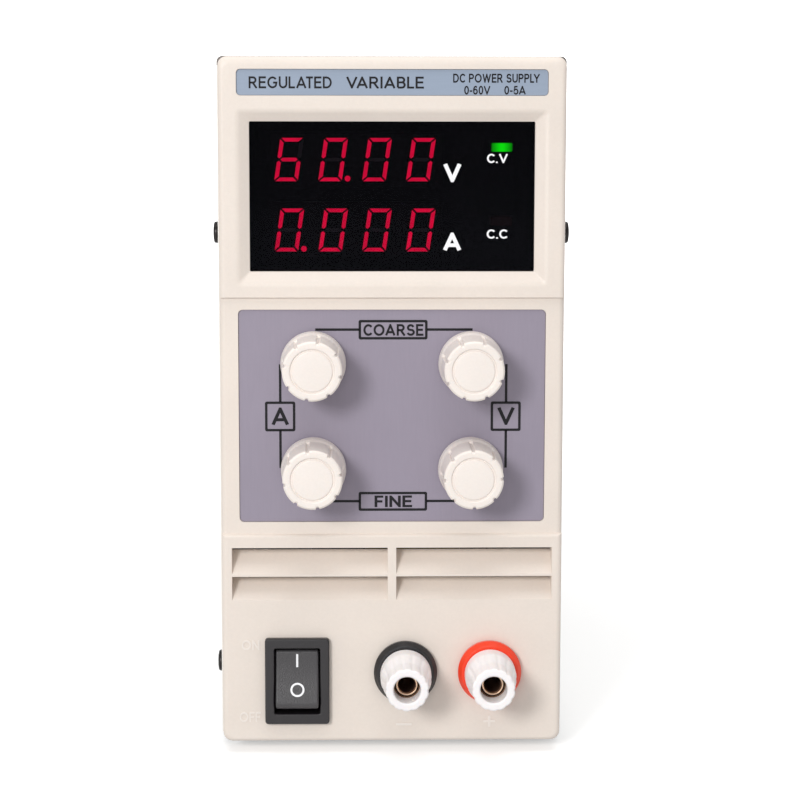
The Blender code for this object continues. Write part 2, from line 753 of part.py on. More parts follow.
def collar_shape():
    hole = STUD_RADIUS + 2 * GAP
    return turned(
        [
            (hole, -GAP),
            (COLLAR_RADIUS, -GAP),
            (COLLAR_RADIUS, COLLAR_FRONT + COLLAR_EDGE),
            (COLLAR_RADIUS - COLLAR_EDGE, COLLAR_FRONT),
            (hole, COLLAR_FRONT),
        ],
        closed=True,
    )


def stud_shape():
    bore_end = STUD_FACE + STUD_BORE_DEPTH
    return turned(
        [
            (0, bore_end),
            (STUD_BORE_RADIUS, bore_end),
            (STUD_BORE_RADIUS, STUD_FACE),
            (STUD_RADIUS, STUD_FACE),
            (STUD_RADIUS, STUD_END),
            (0, STUD_END),
        ],
        16,
    )


def insert_shape():
    inner, outer = INSERT_RADII
    near, far = INSERT_SPAN
    return turned([(inner, near), (outer, near), (outer, far), (inner, far)], 16, closed=True)


def nut_shape():
    near = FRONT_WALL + GAP
    far = near + NUT_THICK
    hexagon = circle(NUT_ACROSS / 2 / math.cos(math.pi / 6), 6)
    return prism(hexagon, near, far)


def binding_posts(paints, datum):
    collars = {"negative": "post_black", "positive": "post_red"}
    for name, x in POST_X.items():
        at = (x, 0, POST_Z)
        add_node(f"{name}_post_collar", collar_shape(), paints[collars[name]], datum, at)
        add_node(f"{name}_post_cap", post_cap_shape(), paints["post_white"], datum, at)
        add_node(f"{name}_post_insert", insert_shape(), paints["brass"], datum, at)
        stud = add_node(f"{name}_post_stud", stud_shape(), paints["brass"], datum, at)
        reach = STUD_RADIUS + THROUGH
        wire_hole = prism(circle(WIRE_HOLE_RADIUS, 8), -reach, reach)
        cut(stud, moved(aimed(wire_hole, (0, 0, 1)), (0, WIRE_HOLE_Y, 0)))
        nut = add_node(f"{name}_post_nut", nut_shape(), paints["brass"], datum, at)
        cut(nut, prism(circle(STUD_RADIUS + GAP, 16), 0, STUD_END))


# Case


def screw_holes(y_from, y_to):
    """Clearance holes through the side walls for the screws between two depths."""
    radius = SCREW_RADIUS + GAP
    outer = PANEL_WIDTH / 2 + COVER_PROUD + THROUGH
    inner = PANEL_WIDTH / 2 - SIDE_WALL - THROUGH
    holes = []
    for side, y, z in SCREWS.values():
        if y_from < y < y_to:
            near, far = sorted((side * inner, side * outer))
            holes.append(side_hole(radius, y, z, near, far))
    return holes


def cover_screws(paints, datum):
    under_head = PANEL_WIDTH / 2 + COVER_PROUD + GAP
    tip = under_head - SCREW_LENGTH
    face = under_head + SCREW_HEAD_HEIGHT - GAP
    shape = [
        (0, tip),
        (SCREW_RADIUS, tip),
        (SCREW_RADIUS, under_head),
        (SCREW_HEAD_RADIUS, under_head),
        (SCREW_HEAD_RADIUS - SCREW_EDGE / 2, under_head + SCREW_EDGE),
        (SCREW_DOME_RADIUS, face),
        (0, face),
    ]
    for name, (side, y, z) in SCREWS.items():
        screw = aimed(turned(shape, SMALL_SIDES), (side, 0, 0))
        add_node(name, moved(screw, (0, y, z)), paints["black_steel"], datum)


def top_cover(paints, datum):
    """The cover's top and sides in one bent sheet, open below, in front and behind."""
    half = PANEL_WIDTH / 2 + COVER_PROUD
    top = PANEL_HEIGHT + COVER_OVER
    bends = [point for point in rounded(half, CASE_LOW, top, COVER_BEND) if point[1] > top / 2]
    inner_half = half - SHEET
    inner_top = top - SHEET
    outline = [
        (half, CASE_LOW),
        *bends,
        (-half, CASE_LOW),
        (-inner_half, CASE_LOW),
        (-inner_half, inner_top),
        (inner_half, inner_top),
        (inner_half, CASE_LOW),
    ]
    cover = add_node(
        "top_cover", prism(outline, BEZEL_DEPTH + GAP, CASE_DEPTH), paints["cover_paint"], datum
    )
    slots = []
    for low in SLOT_ROWS:
        for k in range(SLOTS_PER_ROW):
            y = SLOT_FIRST_Y + k * SLOT_PITCH
            slots.append(
                block((-half - THROUGH, y, low), (half + THROUGH, y + SLOT_WIDTH, low + SLOT_HEIGHT))
            )
    cut(cover, *slots, *screw_holes(0, CASE_DEPTH))


def standoff_places():
    inset = STANDOFF_INSET
    (x_low, y_low, _), (x_high, y_high, _) = MAIN_BOARD
    return [(x, y) for x in (x_low + inset, x_high - inset) for y in (y_low + inset, y_high - inset)]


def fan_hole_places():
    return [
        (side * FAN_SCREW_OFFSET, FAN_Z + rise * FAN_SCREW_OFFSET) for side in (-1, 1) for rise in (-1, 1)
    ]


def bottom_chassis(paints, datum):
    """One folded sheet: floor, low side flanges, rear wall and its side flanges."""
    top = PANEL_HEIGHT + COVER_OVER - SHEET - GAP
    floor_top = CASE_LOW + FLOOR_SHEET
    wall_in = REAR_WALL_OUT - FLOOR_SHEET
    front = BEZEL_DEPTH + 2 * GAP
    shell = block((-CHASSIS_HALF, front, CASE_LOW), (CHASSIS_HALF, REAR_WALL_OUT, top))
    chassis = add_node("bottom_chassis", shell, paints["zinc_steel"], datum)
    inner_half = CHASSIS_HALF - FLOOR_SHEET
    over = top + THROUGH
    cut(chassis, block((-inner_half, 0, floor_top), (inner_half, wall_in, over)))
    across = CHASSIS_HALF + THROUGH
    cut(chassis, block((-across, 0, FLANGE_HEIGHT), (across, REAR_FLANGE_Y, over)))
    cut(chassis, block((-across, 0, floor_top), (across, SKIRT_DEPTH + GAP, over)))

    wall = (wall_in - THROUGH, REAR_WALL_OUT + THROUGH)
    half, low, high = INLET_BODY
    neck_half = SELECTOR_NECK[0] / 2 + GAP
    neck_reach = SELECTOR_NECK[1] / 2 + GAP
    cut(
        chassis,
        prism(circle(REAR_FAN_HOLE_RADIUS, FAN_SIDES, 0, FAN_Z), *wall),
        *[prism(circle(FAN_SCREW_HOLE_RADIUS, 8, x, z), *wall) for x, z in fan_hole_places()],
        prism(rectangle(half + GAP, low - GAP, high + GAP), *wall),
        prism(rectangle(neck_half, SELECTOR_Z - neck_reach, SELECTOR_Z + neck_reach), *wall),
        *screw_holes(REAR_FLANGE_Y, CASE_DEPTH),
    )
    posts = []
    for x, y in standoff_places():
        low = floor_top - FLOOR_SHEET / 2
        post = prism(circle(STANDOFF_RADIUS, SMALL_SIDES), low, MAIN_BOARD[0][2] - GAP)
        posts.append(moved(aimed(post, (0, 0, 1)), (x, y, 0)))
    unite(chassis, *posts)


def feet(paints, datum):
    top = FOOT_LIFT + CASE_LOW - GAP
    shape = [
        (0, FOOT_RECESS_DEPTH),
        (FOOT_RECESS_RADIUS, FOOT_RECESS_DEPTH),
        (FOOT_RECESS_RADIUS, 0),
        (FOOT_TREAD_RADIUS, 0),
        (FOOT_RADIUS - FOOT_EDGE, FOOT_EDGE),
        (FOOT_RADIUS, top),
        (0, top),
    ]
    for name, (x, y) in FEET.items():
        foot = aimed(turned(shape, 16), (0, 0, 1))
        add_node(name, foot, paints["foot_rubber"], datum, (x, y, -FOOT_LIFT))


# Rear


def fan(paints, datum):
    near, far = FAN_SPAN
    half = FAN_SIDE / 2
    centre = (0, 0, FAN_Z)
    square = prism(rounded(half, -half, half, FAN_CORNER), near, far)
    frame = add_node("fan_frame", square, paints["fan_plastic"], datum, centre)
    through = (near - THROUGH, far + THROUGH)
    holes = [
        prism(circle(FAN_SCREW_HOLE_RADIUS, 8, x, z - FAN_Z), *through) for x, z in fan_hole_places()
    ]
    cut(frame, prism(circle(FAN_BORE_RADIUS, FAN_SIDES), *through), *holes)
    plate = near + FAN_BACK_PLATE
    strut = FAN_STRUT_HALF
    reach = FAN_BORE_RADIUS + 2 * GAP
    unite(frame, block((-reach, near, -strut), (reach, plate, strut)))
    unite(frame, block((-strut, near, -reach), (strut, plate, reach)))
    unite(frame, prism(circle(FAN_HUB_RADIUS, TURNED_SIDES), near, plate))
    cut(frame, prism(circle(FAN_PIN_RADIUS + GAP, SMALL_SIDES), near - THROUGH, plate + THROUGH))

    near, far = IMPELLER_SPAN
    pin = FAN_PIN_RADIUS
    hub = turned(
        [
            (0, FAN_SPAN[0] + GAP),
            (pin, FAN_SPAN[0] + GAP),
            (pin, near),
            (FAN_HUB_RADIUS, near),
            (FAN_HUB_RADIUS, far - FAN_HUB_EDGE),
            (FAN_HUB_RADIUS - FAN_HUB_EDGE, far),
            (0, far),
        ]
    )
    impeller = add_node("fan_impeller", hub, paints["fan_plastic"], datum, centre)
    unite(impeller, *[fan_blade(k * 2 * math.pi / FAN_BLADES) for k in range(FAN_BLADES)])

    wire_half = GUARD_WIRE / 2
    guard_near = REAR_WALL_OUT + GAP
    guard_far = guard_near + GUARD_WIRE

    def ring(radius):
        return turned(
            [
                (radius - wire_half, guard_near),
                (radius + wire_half, guard_near),
                (radius + wire_half, guard_far),
                (radius - wire_half, guard_far),
            ],
            closed=True,
        )

    guard = add_node("fan_guard", ring(GUARD_RINGS[0]), paints["chromed_wire"], datum, centre)
    unite(guard, *[ring(radius) for radius in GUARD_RINGS[1:]], *eyelets(guard_near, guard_far))
    eyelet_middle = (FAN_SCREW_HOLE_RADIUS + EYELET_RADIUS) / 2
    spoke_reach = FAN_SCREW_OFFSET * math.sqrt(2) - eyelet_middle
    for angle in (math.pi / 4, -math.pi / 4):
        spoke = block((-spoke_reach, guard_near, -wire_half), (spoke_reach, guard_far, wire_half))
        bmesh.ops.rotate(spoke, verts=spoke.verts, cent=Vector(), matrix=Matrix.Rotation(angle, 3, "Y"))
        unite(guard, spoke)


def eyelets(near, far):
    """The guard's four screw loops."""
    loops = []
    inner = FAN_SCREW_HOLE_RADIUS
    outer = EYELET_RADIUS
    for x, z in fan_hole_places():
        loop = turned([(inner, near), (outer, near), (outer, far), (inner, far)], SMALL_SIDES, True)
        loops.append(moved(loop, (x, 0, z - FAN_Z)))
    return loops


def fan_blade(angle):
    """A pitched blade from inside the hub to the tip."""
    near = IMPELLER_SPAN[0] + BLADE_INSET
    far = IMPELLER_SPAN[1] - BLADE_INSET
    root_sweep, tip_sweep = BLADE_SWEEPS
    tip_x = math.sqrt(BLADE_TIP_RADIUS**2 - tip_sweep**2)
    loops = []
    for x, sweep in ((FAN_HUB_RADIUS - 2 * FAN_HUB_EDGE, root_sweep), (tip_x, tip_sweep)):
        loops.append(
            [
                (x, near, -sweep),
                (x, near + BLADE_THICK, -sweep),
                (x, far, sweep),
                (x, far - BLADE_THICK, sweep),
            ]
        )
    blade = loft(loops)
    bmesh.ops.rotate(blade, verts=blade.verts, cent=Vector(), matrix=Matrix.Rotation(angle, 3, "Y"))
    return blade


def mains_inlet(paints, datum):
    near = REAR_WALL_OUT + GAP
    flange = rounded(*INLET_FLANGE, INLET_CORNER)
    body = rounded(*INLET_BODY, INLET_CORNER / 2)
    loops = [
        at_depth(body, INLET_FRONT),
        at_depth(body, near),
        at_depth(flange, near),
        at_depth(flange, INLET_BACK),
    ]
    inlet = add_node("mains_inlet", loft(loops), paints["inlet_plastic"], datum)
    half = INLET_RECESS[0] / 2
    reach = INLET_RECESS[1] / 2
    recess = [
        (-half, INLET_Z - reach),
        (half, INLET_Z - reach),
        (half, INLET_Z + reach - INLET_CHAMFER),
        (half - INLET_CHAMFER, INLET_Z + reach),
        (INLET_CHAMFER - half, INLET_Z + reach),
        (-half, INLET_Z + reach - INLET_CHAMFER),
    ]
    floor = INLET_BACK - INLET_RECESS_DEPTH
    drawer_half, low, high = FUSE_DRAWER
    drawer_hole = rectangle(drawer_half + GAP, low - GAP, high + GAP)
    cut(
        inlet,
        prism(recess, floor, INLET_BACK + THROUGH),
        prism(drawer_hole, FUSE_DRAWER_FRONT - GAP, INLET_BACK + THROUGH),
    )
    pins = []
    tip = floor + PIN_LENGTH
    half_x = PIN_SIZE[0] / 2
    half_z = PIN_SIZE[1] / 2
    for x, z in ((0, INLET_Z + EARTH_RISE), (-PIN_X, INLET_Z), (PIN_X, INLET_Z)):
        near_corner = (x - half_x, floor - THROUGH, z - half_z)
        pins.append(block(near_corner, (x + half_x, tip, z + half_z)))
    unite(inlet, *pins)

    drawer = prism(rectangle(drawer_half, low, high), FUSE_DRAWER_FRONT, INLET_BACK)
    fuse_drawer = add_node("fuse_drawer", drawer, paints["inlet_plastic"], datum)
    lip = prism(rectangle(drawer_half, high - FUSE_LIP, high), INLET_BACK - THROUGH, REAR_REACH)
    unite(fuse_drawer, lip)


def voltage_selector(paints, datum):
    back = REAR_WALL_OUT + GAP
    body = rectangle(SELECTOR_BODY[0] / 2, -SELECTOR_BODY[1] / 2, SELECTOR_BODY[1] / 2)
    neck = rectangle(SELECTOR_NECK[0] / 2, -SELECTOR_NECK[1] / 2, SELECTOR_NECK[1] / 2)
    shoulder = REAR_WALL_OUT - FLOOR_SHEET - GAP
    loops = [
        at_depth(body, SELECTOR_FRONT),
        at_depth(body, shoulder),
        at_depth(neck, shoulder),
        at_depth(neck, back),
    ]
    centre = (0, 0, SELECTOR_Z)
    selector = add_node("voltage_selector_body", loft(loops), paints["inlet_plastic"], datum, centre)
    recess = rectangle(SELECTOR_RECESS[0] / 2, -SELECTOR_RECESS[1] / 2, SELECTOR_RECESS[1] / 2)
    floor = back - SELECTOR_RECESS_DEPTH
    cut(selector, prism(recess, floor, back + THROUGH))

    left = SELECTOR_RECESS[0] / 2 - GAP - SLIDER_WIDTH
    face = back - SLIDER_BELOW
    low = (left, floor + GAP, -SLIDER_HEIGHT / 2)
    slider = block(low, (left + SLIDER_WIDTH, face, SLIDER_HEIGHT / 2))
    node = add_node("voltage_selector_slider", slider, paints["selector_red"], datum, centre)
    middle = left + SLIDER_WIDTH / 2
    groove_low = (middle - GROOVE_HALF, face - GROOVE_DEPTH, -SLIDER_HEIGHT)
    cut(node, block(groove_low, (middle + GROOVE_HALF, face + THROUGH, SLIDER_HEIGHT)))


# Inside


def transformer(paints, datum):
    width, depth, height = CORE_SIZE
    at = (*TRANSFORMER_AT, ON_BOARD + height / 2)
    core = prism(rectangle(width / 2, -height / 2, height / 2), -depth / 2, depth / 2)
    node = add_node("transformer", core, paints["transformer_core"], datum, at)
    reach = height / 2 - CORE_YOKE
    winding = prism(circle(WINDING_RADIUS, TURNED_SIDES), -reach, reach)
    unite(node, aimed(winding, (0, 0, 1)))


def heatsink(paints, datum):
    """An upright plate with fins towards the middle of the case."""
    near, far = HEATSINK_SPAN
    back, reach = HEATSINK_DEPTHS
    fin = HEATSINK_FIN
    pitch = HEATSINK_PITCH
    outline = [(0, 0)]
    for k in range(HEATSINK_FINS):
        z = k * pitch
        outline += [(reach, z), (reach, z + fin), (back, z + fin)]
        if k < HEATSINK_FINS - 1:
            outline.append((back, z + pitch))
    outline[-1:] = [(0, (HEATSINK_FINS - 1) * pitch + fin)]
    add_node(
        "heatsink", prism(outline, near, far), paints["heatsink_alloy"], datum, (HEATSINK_X, 0, ON_BOARD)
    )


def inside(paints, datum):
    add_node("main_board", block(*MAIN_BOARD), paints["circuit_board"], datum)
    transformer(paints, datum)
    heatsink(paints, datum)
    can = [
        (0, 0),
        (CAPACITOR_RADIUS, 0),
        (CAPACITOR_RADIUS, CAPACITOR_HEIGHT - CAPACITOR_EDGE),
        (CAPACITOR_RADIUS - CAPACITOR_EDGE, CAPACITOR_HEIGHT),
        (0, CAPACITOR_HEIGHT),
    ]
    for name, x in CAPACITORS.items():
        shape = aimed(turned(can), (0, 0, 1))
        add_node(name, shape, paints["capacitor_sleeve"], datum, (x, CAPACITOR_Y, ON_BOARD))
    inner, outer = INDUCTOR_RADII
    soft = INDUCTOR_EDGE
    ring = [
        (inner, soft),
        (inner + soft, 0),
        (outer - soft, 0),
        (outer, soft),
        (outer, INDUCTOR_HEIGHT - soft),
        (outer - soft, INDUCTOR_HEIGHT),
        (inner + soft, INDUCTOR_HEIGHT),
        (inner, INDUCTOR_HEIGHT - soft),
    ]
    shape = aimed(turned(ring, closed=True), (0, 0, 1))
    add_node("output_inductor", shape, paints["copper_winding"], datum, (*INDUCTOR_AT, ON_BOARD))


def main():
    clear_scene()
    paints = make_materials()
    datum = bpy.data.objects.new("front_datum", None)
    datum.location = (0, FRONT_Y, FOOT_LIFT)
    bpy.context.scene.collection.objects.link(datum)
    front_panel(paints["cream_plastic"], datum)
    labels_and_window(paints, datum)
    displays(paints, datum)
    knobs(paints, datum)
    switch(paints, datum)
    binding_posts(paints, datum)
    top_cover(paints, datum)
    bottom_chassis(paints, datum)
    cover_screws(paints, datum)
    feet(paints, datum)
    fan(paints, datum)
    mains_inlet(paints, datum)
    voltage_selector(paints, datum)
    inside(paints, datum)


main()
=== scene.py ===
"""The looks of a bench power supply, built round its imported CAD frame.

Shapes are drawn in millimetres in the front frame: x to the right, y into the case from the front face, and z
up from the panel's bottom edge. DATUM is that frame's origin in the row frame.
"""

import math

import bmesh
import bpy
from mathutils import Matrix, Vector


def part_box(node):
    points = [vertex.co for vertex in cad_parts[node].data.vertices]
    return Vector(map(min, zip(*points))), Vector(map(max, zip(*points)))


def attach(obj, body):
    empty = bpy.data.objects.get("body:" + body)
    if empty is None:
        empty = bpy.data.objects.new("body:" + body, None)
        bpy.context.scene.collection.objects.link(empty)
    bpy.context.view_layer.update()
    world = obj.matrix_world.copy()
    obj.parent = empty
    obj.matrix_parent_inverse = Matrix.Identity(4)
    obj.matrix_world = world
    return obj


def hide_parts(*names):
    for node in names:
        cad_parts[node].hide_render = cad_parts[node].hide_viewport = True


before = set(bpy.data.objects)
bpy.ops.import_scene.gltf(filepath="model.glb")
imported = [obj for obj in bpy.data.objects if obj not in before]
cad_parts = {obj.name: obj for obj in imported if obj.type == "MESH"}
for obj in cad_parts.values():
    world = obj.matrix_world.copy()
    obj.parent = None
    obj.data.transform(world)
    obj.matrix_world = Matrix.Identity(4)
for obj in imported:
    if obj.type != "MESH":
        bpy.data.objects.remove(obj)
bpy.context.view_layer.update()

MM = 0.001
DATUM = Vector((0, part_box("front_panel")[0].y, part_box("front_panel")[0].z))
TURN = 2 * math.pi


def box(node):
    low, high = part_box(node)
    return (low - DATUM) / MM, (high - DATUM) / MM


def middle(node):
    low, high = box(node)
    return (low + high) / 2


def neighbours(rings, closed):
    return zip(rings, rings[1:] + rings[:1] if closed else rings[1:])


# Shapes. Each returns a closed bmesh in the front frame.


def loft(loops, closed=False):
    """Faces between flat loops of equal length, capped at both ends unless they close on themselves."""
    bm = bmesh.new()
    rings = [[bm.verts.new(point) for point in loop] for loop in loops]
    for near, far in neighbours(rings, closed):
        for i, corner in enumerate(near):
            j = (i + 1) % len(near)
            bm.faces.new((corner, near[j], far[j], far[i]))
    if not closed:
        bm.faces.new(rings[0])
        bm.faces.new(rings[-1])
    bmesh.ops.recalc_face_normals(bm, faces=bm.faces)
    return bm


def soften(points, radius, closed=True, steps=5):
    """A 2-D outline with rounded corners. A point may carry its own radius as a third number."""
    out = []
    for i, point in enumerate(points):
        wanted = point[2] if len(point) > 2 else radius
        corner = Vector(point[:2])
        if wanted == 0 or (not closed and i in (0, len(points) - 1)):
            out.append(tuple(corner))
            continue
        before = Vector(points[i - 1][:2]) - corner
        after = Vector(points[(i + 1) % len(points)][:2]) - corner
        half = before.angle(after) / 2
        reach = min(wanted / math.tan(half), 0.49 * before.length, 0.49 * after.length)
        before.normalize()
        after.normalize()
        hub = corner + (before + after).normalized() * reach / math.cos(half)
        start = corner + before * reach - hub
        end = corner + after * reach - hub
        sweep = math.pi - 2 * half
        for k in range(steps + 1):
            t = k / steps
            first = start * math.sin((1 - t) * sweep) / math.sin(sweep)
            out.append(tuple(hub + first + end * math.sin(t * sweep) / math.sin(sweep)))
    return out


def rect(half, low, high, radius=0.0, mid=0.0):
    corners = [(mid - half, low), (mid + half, low), (mid + half, high), (mid - half, high)]
    return soften(corners, radius) if radius else corners


def at(outline, y):
    return [(x, y, z) for x, z in outline]


def quarter(steps=4):
    """One less the sine and one less the cosine, at each step of a quarter turn."""
    angles = [k * math.pi / 2 / max(steps, 1) for k in range(steps + 1)]
    return [(1 - math.sin(a), 1 - math.cos(a)) for a in angles]


def prism(outline, near, far):
    return loft([at(outline, near), at(outline, far)])


def frame_loft(outer, inner, near, far):
    """The solid between two outlines, one inside the other."""
    return loft([at(outer, near), at(inner, near), at(inner, far), at(outer, far)], closed=True)


def slab(outline, near, far, front=0.3, back=0.3, steps=4):
    """A plate with rounded front and back edges. outline(inset) gives its outline."""
    loops = [at(outline(front * s), near + front * c) for s, c in quarter(steps if front else 0)]
    loops += [at(outline(back * c), far - back * s) for s, c in quarter(steps if back else 0)]
    return loft(loops)


def round_slab(size, near, far, radius, front=0.3, back=0.3):
    """slab() for a rectangle given as (half width, low, high, middle x)."""
    half, low, high, mid = size

    def outline(inset):
        return rect(half - inset, low + inset, high - inset, max(radius - inset, 0.08), mid)

    return slab(outline, near, far, front, back)


def plate(node, radius, front, back):
    """A rounded rectangle that fills a node's box."""
    low, high = box(node)
    size = ((high.x - low.x) / 2, low.z, high.z, (low.x + high.x) / 2)
    return round_slab(size, low.y, high.y, radius, front, back)


def clearance(node, fit, near, far, radius=0.0):
    """A cutter that leaves a gap round the outline of a node that sits on the middle line."""
    low, high = box(node)
    return prism(rect(high.x + fit, low.z - fit, high.z + fit, radius), near, far)


def block(low, high, edge=0.0):
    half, mid = (high[0] - low[0]) / 2, (low[0] + high[0]) / 2
    if edge:
        return round_slab((half, low[2], high[2], mid), low[1], high[1], edge, edge, edge)
    return prism(rect(half, low[2], high[2], mid=mid), low[1], high[1])


def circle(radius, sides, x=0.0, z=0.0):
    angles = [TURN * k / sides for k in range(sides)]
    return [(x + radius * math.cos(a), z + radius * math.sin(a)) for a in angles]


def turned(profile, sides, closed=False, shape=None):
    """A solid turned about Y from (radius, y) points. shape(angle, radius, y) may change each radius."""
    bm = bmesh.new()
    rings = []
    for radius, y in profile:
        if radius < 1e-6:
            rings.append([bm.verts.new((0, y, 0))])
            continue
        ring = []
        for k in range(sides):
            angle = TURN * k / sides
            r = shape(angle, radius, y) if shape else radius
            ring.append(bm.verts.new((r * math.cos(angle), y, r * math.sin(angle))))
        rings.append(ring)
    for near, far in neighbours(rings, closed):
        for k in range(sides):
            n = (k + 1) % sides
            corners = (near[k % len(near)], near[n % len(near)], far[n % len(far)], far[k % len(far)])
            bm.faces.new(list(dict.fromkeys(corners)))
    bmesh.ops.recalc_face_normals(bm, faces=bm.faces)
    return bm


def lathe(corners, sides, closed=False, steps=5, shape=None):
    """turned() from (radius, y, rounding) corners."""
    return turned(soften(corners, 0, closed, steps), sides, closed, shape)


def wire_ring(radius, y, wire, sides):
    return turned([(radius + a, y + b) for a, b in circle(wire, 12)], sides, closed=True)


def cross(reach, half):
    """A plus sign's outline."""
    corner = [(reach, -half), (reach, half), (half, half)]
    turns = (lambda x, z: (x, z), lambda x, z: (-z, x), lambda x, z: (-x, -z), lambda x, z: (z, -x))
    return [turn(*point) for turn in turns for point in corner]


def tube(path, radius, sides):
    """A round wire along a path of points."""
    points = [Vector(point) for point in path]
    loops = []
    normal = None
    for i, point in enumerate(points):
        along = (points[min(i + 1, len(points) - 1)] - points[max(i - 1, 0)]).normalized()
        if normal is None:
            normal = along.orthogonal().normalized()
        normal = (normal - along * normal.dot(along)).normalized()
        side = along.cross(normal)
        loops.append([point + (normal * x + side * z) * radius for x, z in circle(1, sides)])
    return loft(loops)


def moved(bm, offset):
    bmesh.ops.translate(bm, verts=bm.verts, vec=Vector(offset))
    return bm


def aimed(bm, axis):
    """The shape turned so that what ran along +Y runs along the axis."""
    turn = Vector((0, 1, 0)).rotation_difference(Vector(axis)).to_matrix()
    bmesh.ops.rotate(bm, verts=bm.verts, cent=Vector(), matrix=turn)
    return bm


def at_node(bm, node):
    """A shape drawn round the y axis, moved to a node's middle in x and z."""
    c = middle(node)
    return moved(bm, (c.x, 0, c.z))


def upright(bm, place):
    """A shape drawn along the y axis, stood up at a place."""
    return moved(aimed(bm, (0, 0, 1)), place)


def spun(bm, angle):
    bmesh.ops.rotate(bm, verts=bm.verts, cent=Vector(), matrix=Matrix.Rotation(angle, 3, "Y"))
    return bm


def joined(*parts):
    """Several shapes as one bmesh, side by side."""
    whole = bmesh.new()
    carrier = bpy.data.meshes.new("carrier")
    for part in parts:
        part.to_mesh(carrier)
        part.free()
        whole.from_mesh(carrier)
    bpy.data.meshes.remove(carrier)
    return whole


def mesh_from(bm, name):
    mesh = bpy.data.meshes.new(name)
    bm.to_mesh(mesh)
    bm.free()
    return mesh


def placed(name, data):
    """A new object in the scene."""
    obj = bpy.data.objects.new(name, data)
    bpy.context.scene.collection.objects.link(obj)
    return obj


def combined(bm, tools, operation):
    base, *others = [placed("helper", mesh_from(part, "helper")) for part in (bm, *tools)]
    for other in others:
        modifier = base.modifiers.new("tool", "BOOLEAN")
        modifier.operation = operation
        modifier.object = other
    bpy.context.view_layer.update()
    result = bmesh.new()
    result.from_object(base, bpy.context.evaluated_depsgraph_get())
    for obj in (base, *others):
        mesh = obj.data
        bpy.data.objects.remove(obj)
        bpy.data.meshes.remove(mesh)
    return result


def cut(bm, *tools):
    return combined(bm, tools, "DIFFERENCE")


def united(bm, *tools):
    return combined(bm, tools, "UNION")


def crossed(bm, *loops):
    """The shape with a groove between two loops cut into it, and the same groove a quarter turn round."""
    return cut(bm, loft(loops), spun(loft(loops), math.pi / 2))


def round_holes(nodes, radius, near, far):
    """Cutters at the middles of some nodes."""
    return joined(*[prism(circle(radius, 32, c.x, c.z), near, far) for c in map(middle, nodes)])


def arc(x, z, wide, tall, start, end):
    """Points along part of an ellipse, with its angles in degrees."""
    steps = max(3, round(abs(end - start) / 18))
    angles = [math.radians(start + (end - start) * k / steps) for k in range(steps + 1)]
    return [(x + wide * math.cos(a), z + tall * math.sin(a)) for a in angles]


BOWL = [(0, 1), *arc(0.38, 0.74, 0.26, 0.26, 90, -90), (0, 0.48)]

# Each letter as the lines that a pen would draw, one unit tall from the middle of the pen. An outline whose
# last point is its first is drawn as a ring.
LETTERS = {
    "A": [[(-0.03, -0.07), (0.43, 1), (0.89, -0.07)], [(0.13, 0.27), (0.73, 0.27)]],
    "B": [
        [(0, 0), (0, 1), *arc(0.36, 0.76, 0.24, 0.24, 90, -90), (0, 0.52)],
        [(0, 0.52), *arc(0.38, 0.26, 0.27, 0.26, 90, -90), (0, 0)]
    ],
    "C": [arc(0.44, 0.5, 0.44, 0.5, 40, 320)],
    "D": [[(0, 0), (0, 1), *arc(0.3, 0.5, 0.46, 0.5, 90, -90), (0, 0)]],
    "E": [[(0.68, 1), (0, 1), (0, 0), (0.7, 0)], [(0, 0.52), (0.63, 0.52)]],
    "F": [[(0.62, 1), (0, 1), (0, -0.1)], [(0, 0.5), (0.54, 0.5)]],
    "G": [[*arc(0.46, 0.5, 0.46, 0.5, 40, 322), (0.88, 0.48), (0.52, 0.48)]], "I": [[(0, -0.1), (0, 1.1)]],
    "L": [[(0, 1.1), (0, 0), (0.58, 0)]], "N": [[(0, -0.1), (0, 1), (0.72, 0), (0.72, 1.1)]],
    "O": [arc(0.49, 0.5, 0.49, 0.5, 0, 360)], "P": [[(0, -0.1), *BOWL]],
    "R": [[(0, -0.1), *BOWL], [(0.34, 0.48), (0.76, -0.1)]],
    "S": [[*arc(0.34, 0.745, 0.3, 0.255, 15, 235), *arc(0.34, 0.26, 0.34, 0.26, 62, -165)]],
    "T": [[(0, 1), (0.74, 1)], [(0.37, 1), (0.37, -0.1)]],
    "U": [[(0, 1.1), *arc(0.36, 0.36, 0.36, 0.36, 180, 360), (0.72, 1.1)]],
    "V": [[(-0.03, 1.07), (0.42, 0), (0.87, 1.07)]],
    "W": [[(-0.02, 1.07), (0.3, 0), (0.61, 1), (0.92, 0), (1.24, 1.07)]],
    "Y": [[(-0.05, 1.07), (0.4, 0.44), (0.85, 1.07)], [(0.4, 0.44), (0.4, -0.1)]],
    "0": [arc(0.28, 0.5, 0.28, 0.5, 0, 360)], "1": [[(0, 0.76), (0.26, 1), (0.26, -0.1)]],
    "2": [[*arc(0.27, 0.72, 0.27, 0.28, 170, -38), (0, 0), (0.58, 0)]],
    "3": [[*arc(0.26, 0.76, 0.24, 0.24, 150, -75), *arc(0.27, 0.26, 0.27, 0.26, 80, -155)]],
    "5": [[(0.52, 1), (0.1, 1), (0.03, 0.5), *arc(0.27, 0.32, 0.29, 0.32, 128, -155)]],
    "6": [arc(0.28, 0.31, 0.28, 0.31, 0, 360), [*arc(0.3, 0.5, 0.3, 0.5, 48, 180), (0.01, 0.3)]],
    "-": [[(0, 0.38), (0.42, 0.38)]], ".": [[(0, -0.1), (0, 0.08)]], " ": []
}
SPACE = 0.3
LETTER_GAP = 0.11
KERNING = {"VA": 0.2, "AT": 0.14, "LY": 0.18, "OA": 0.06, "RV": 0.05, "5A": 0.05, "0V": 0.05}
STAGGER = 0.012  # crossing strokes of a letter differ by this much, in millimetres


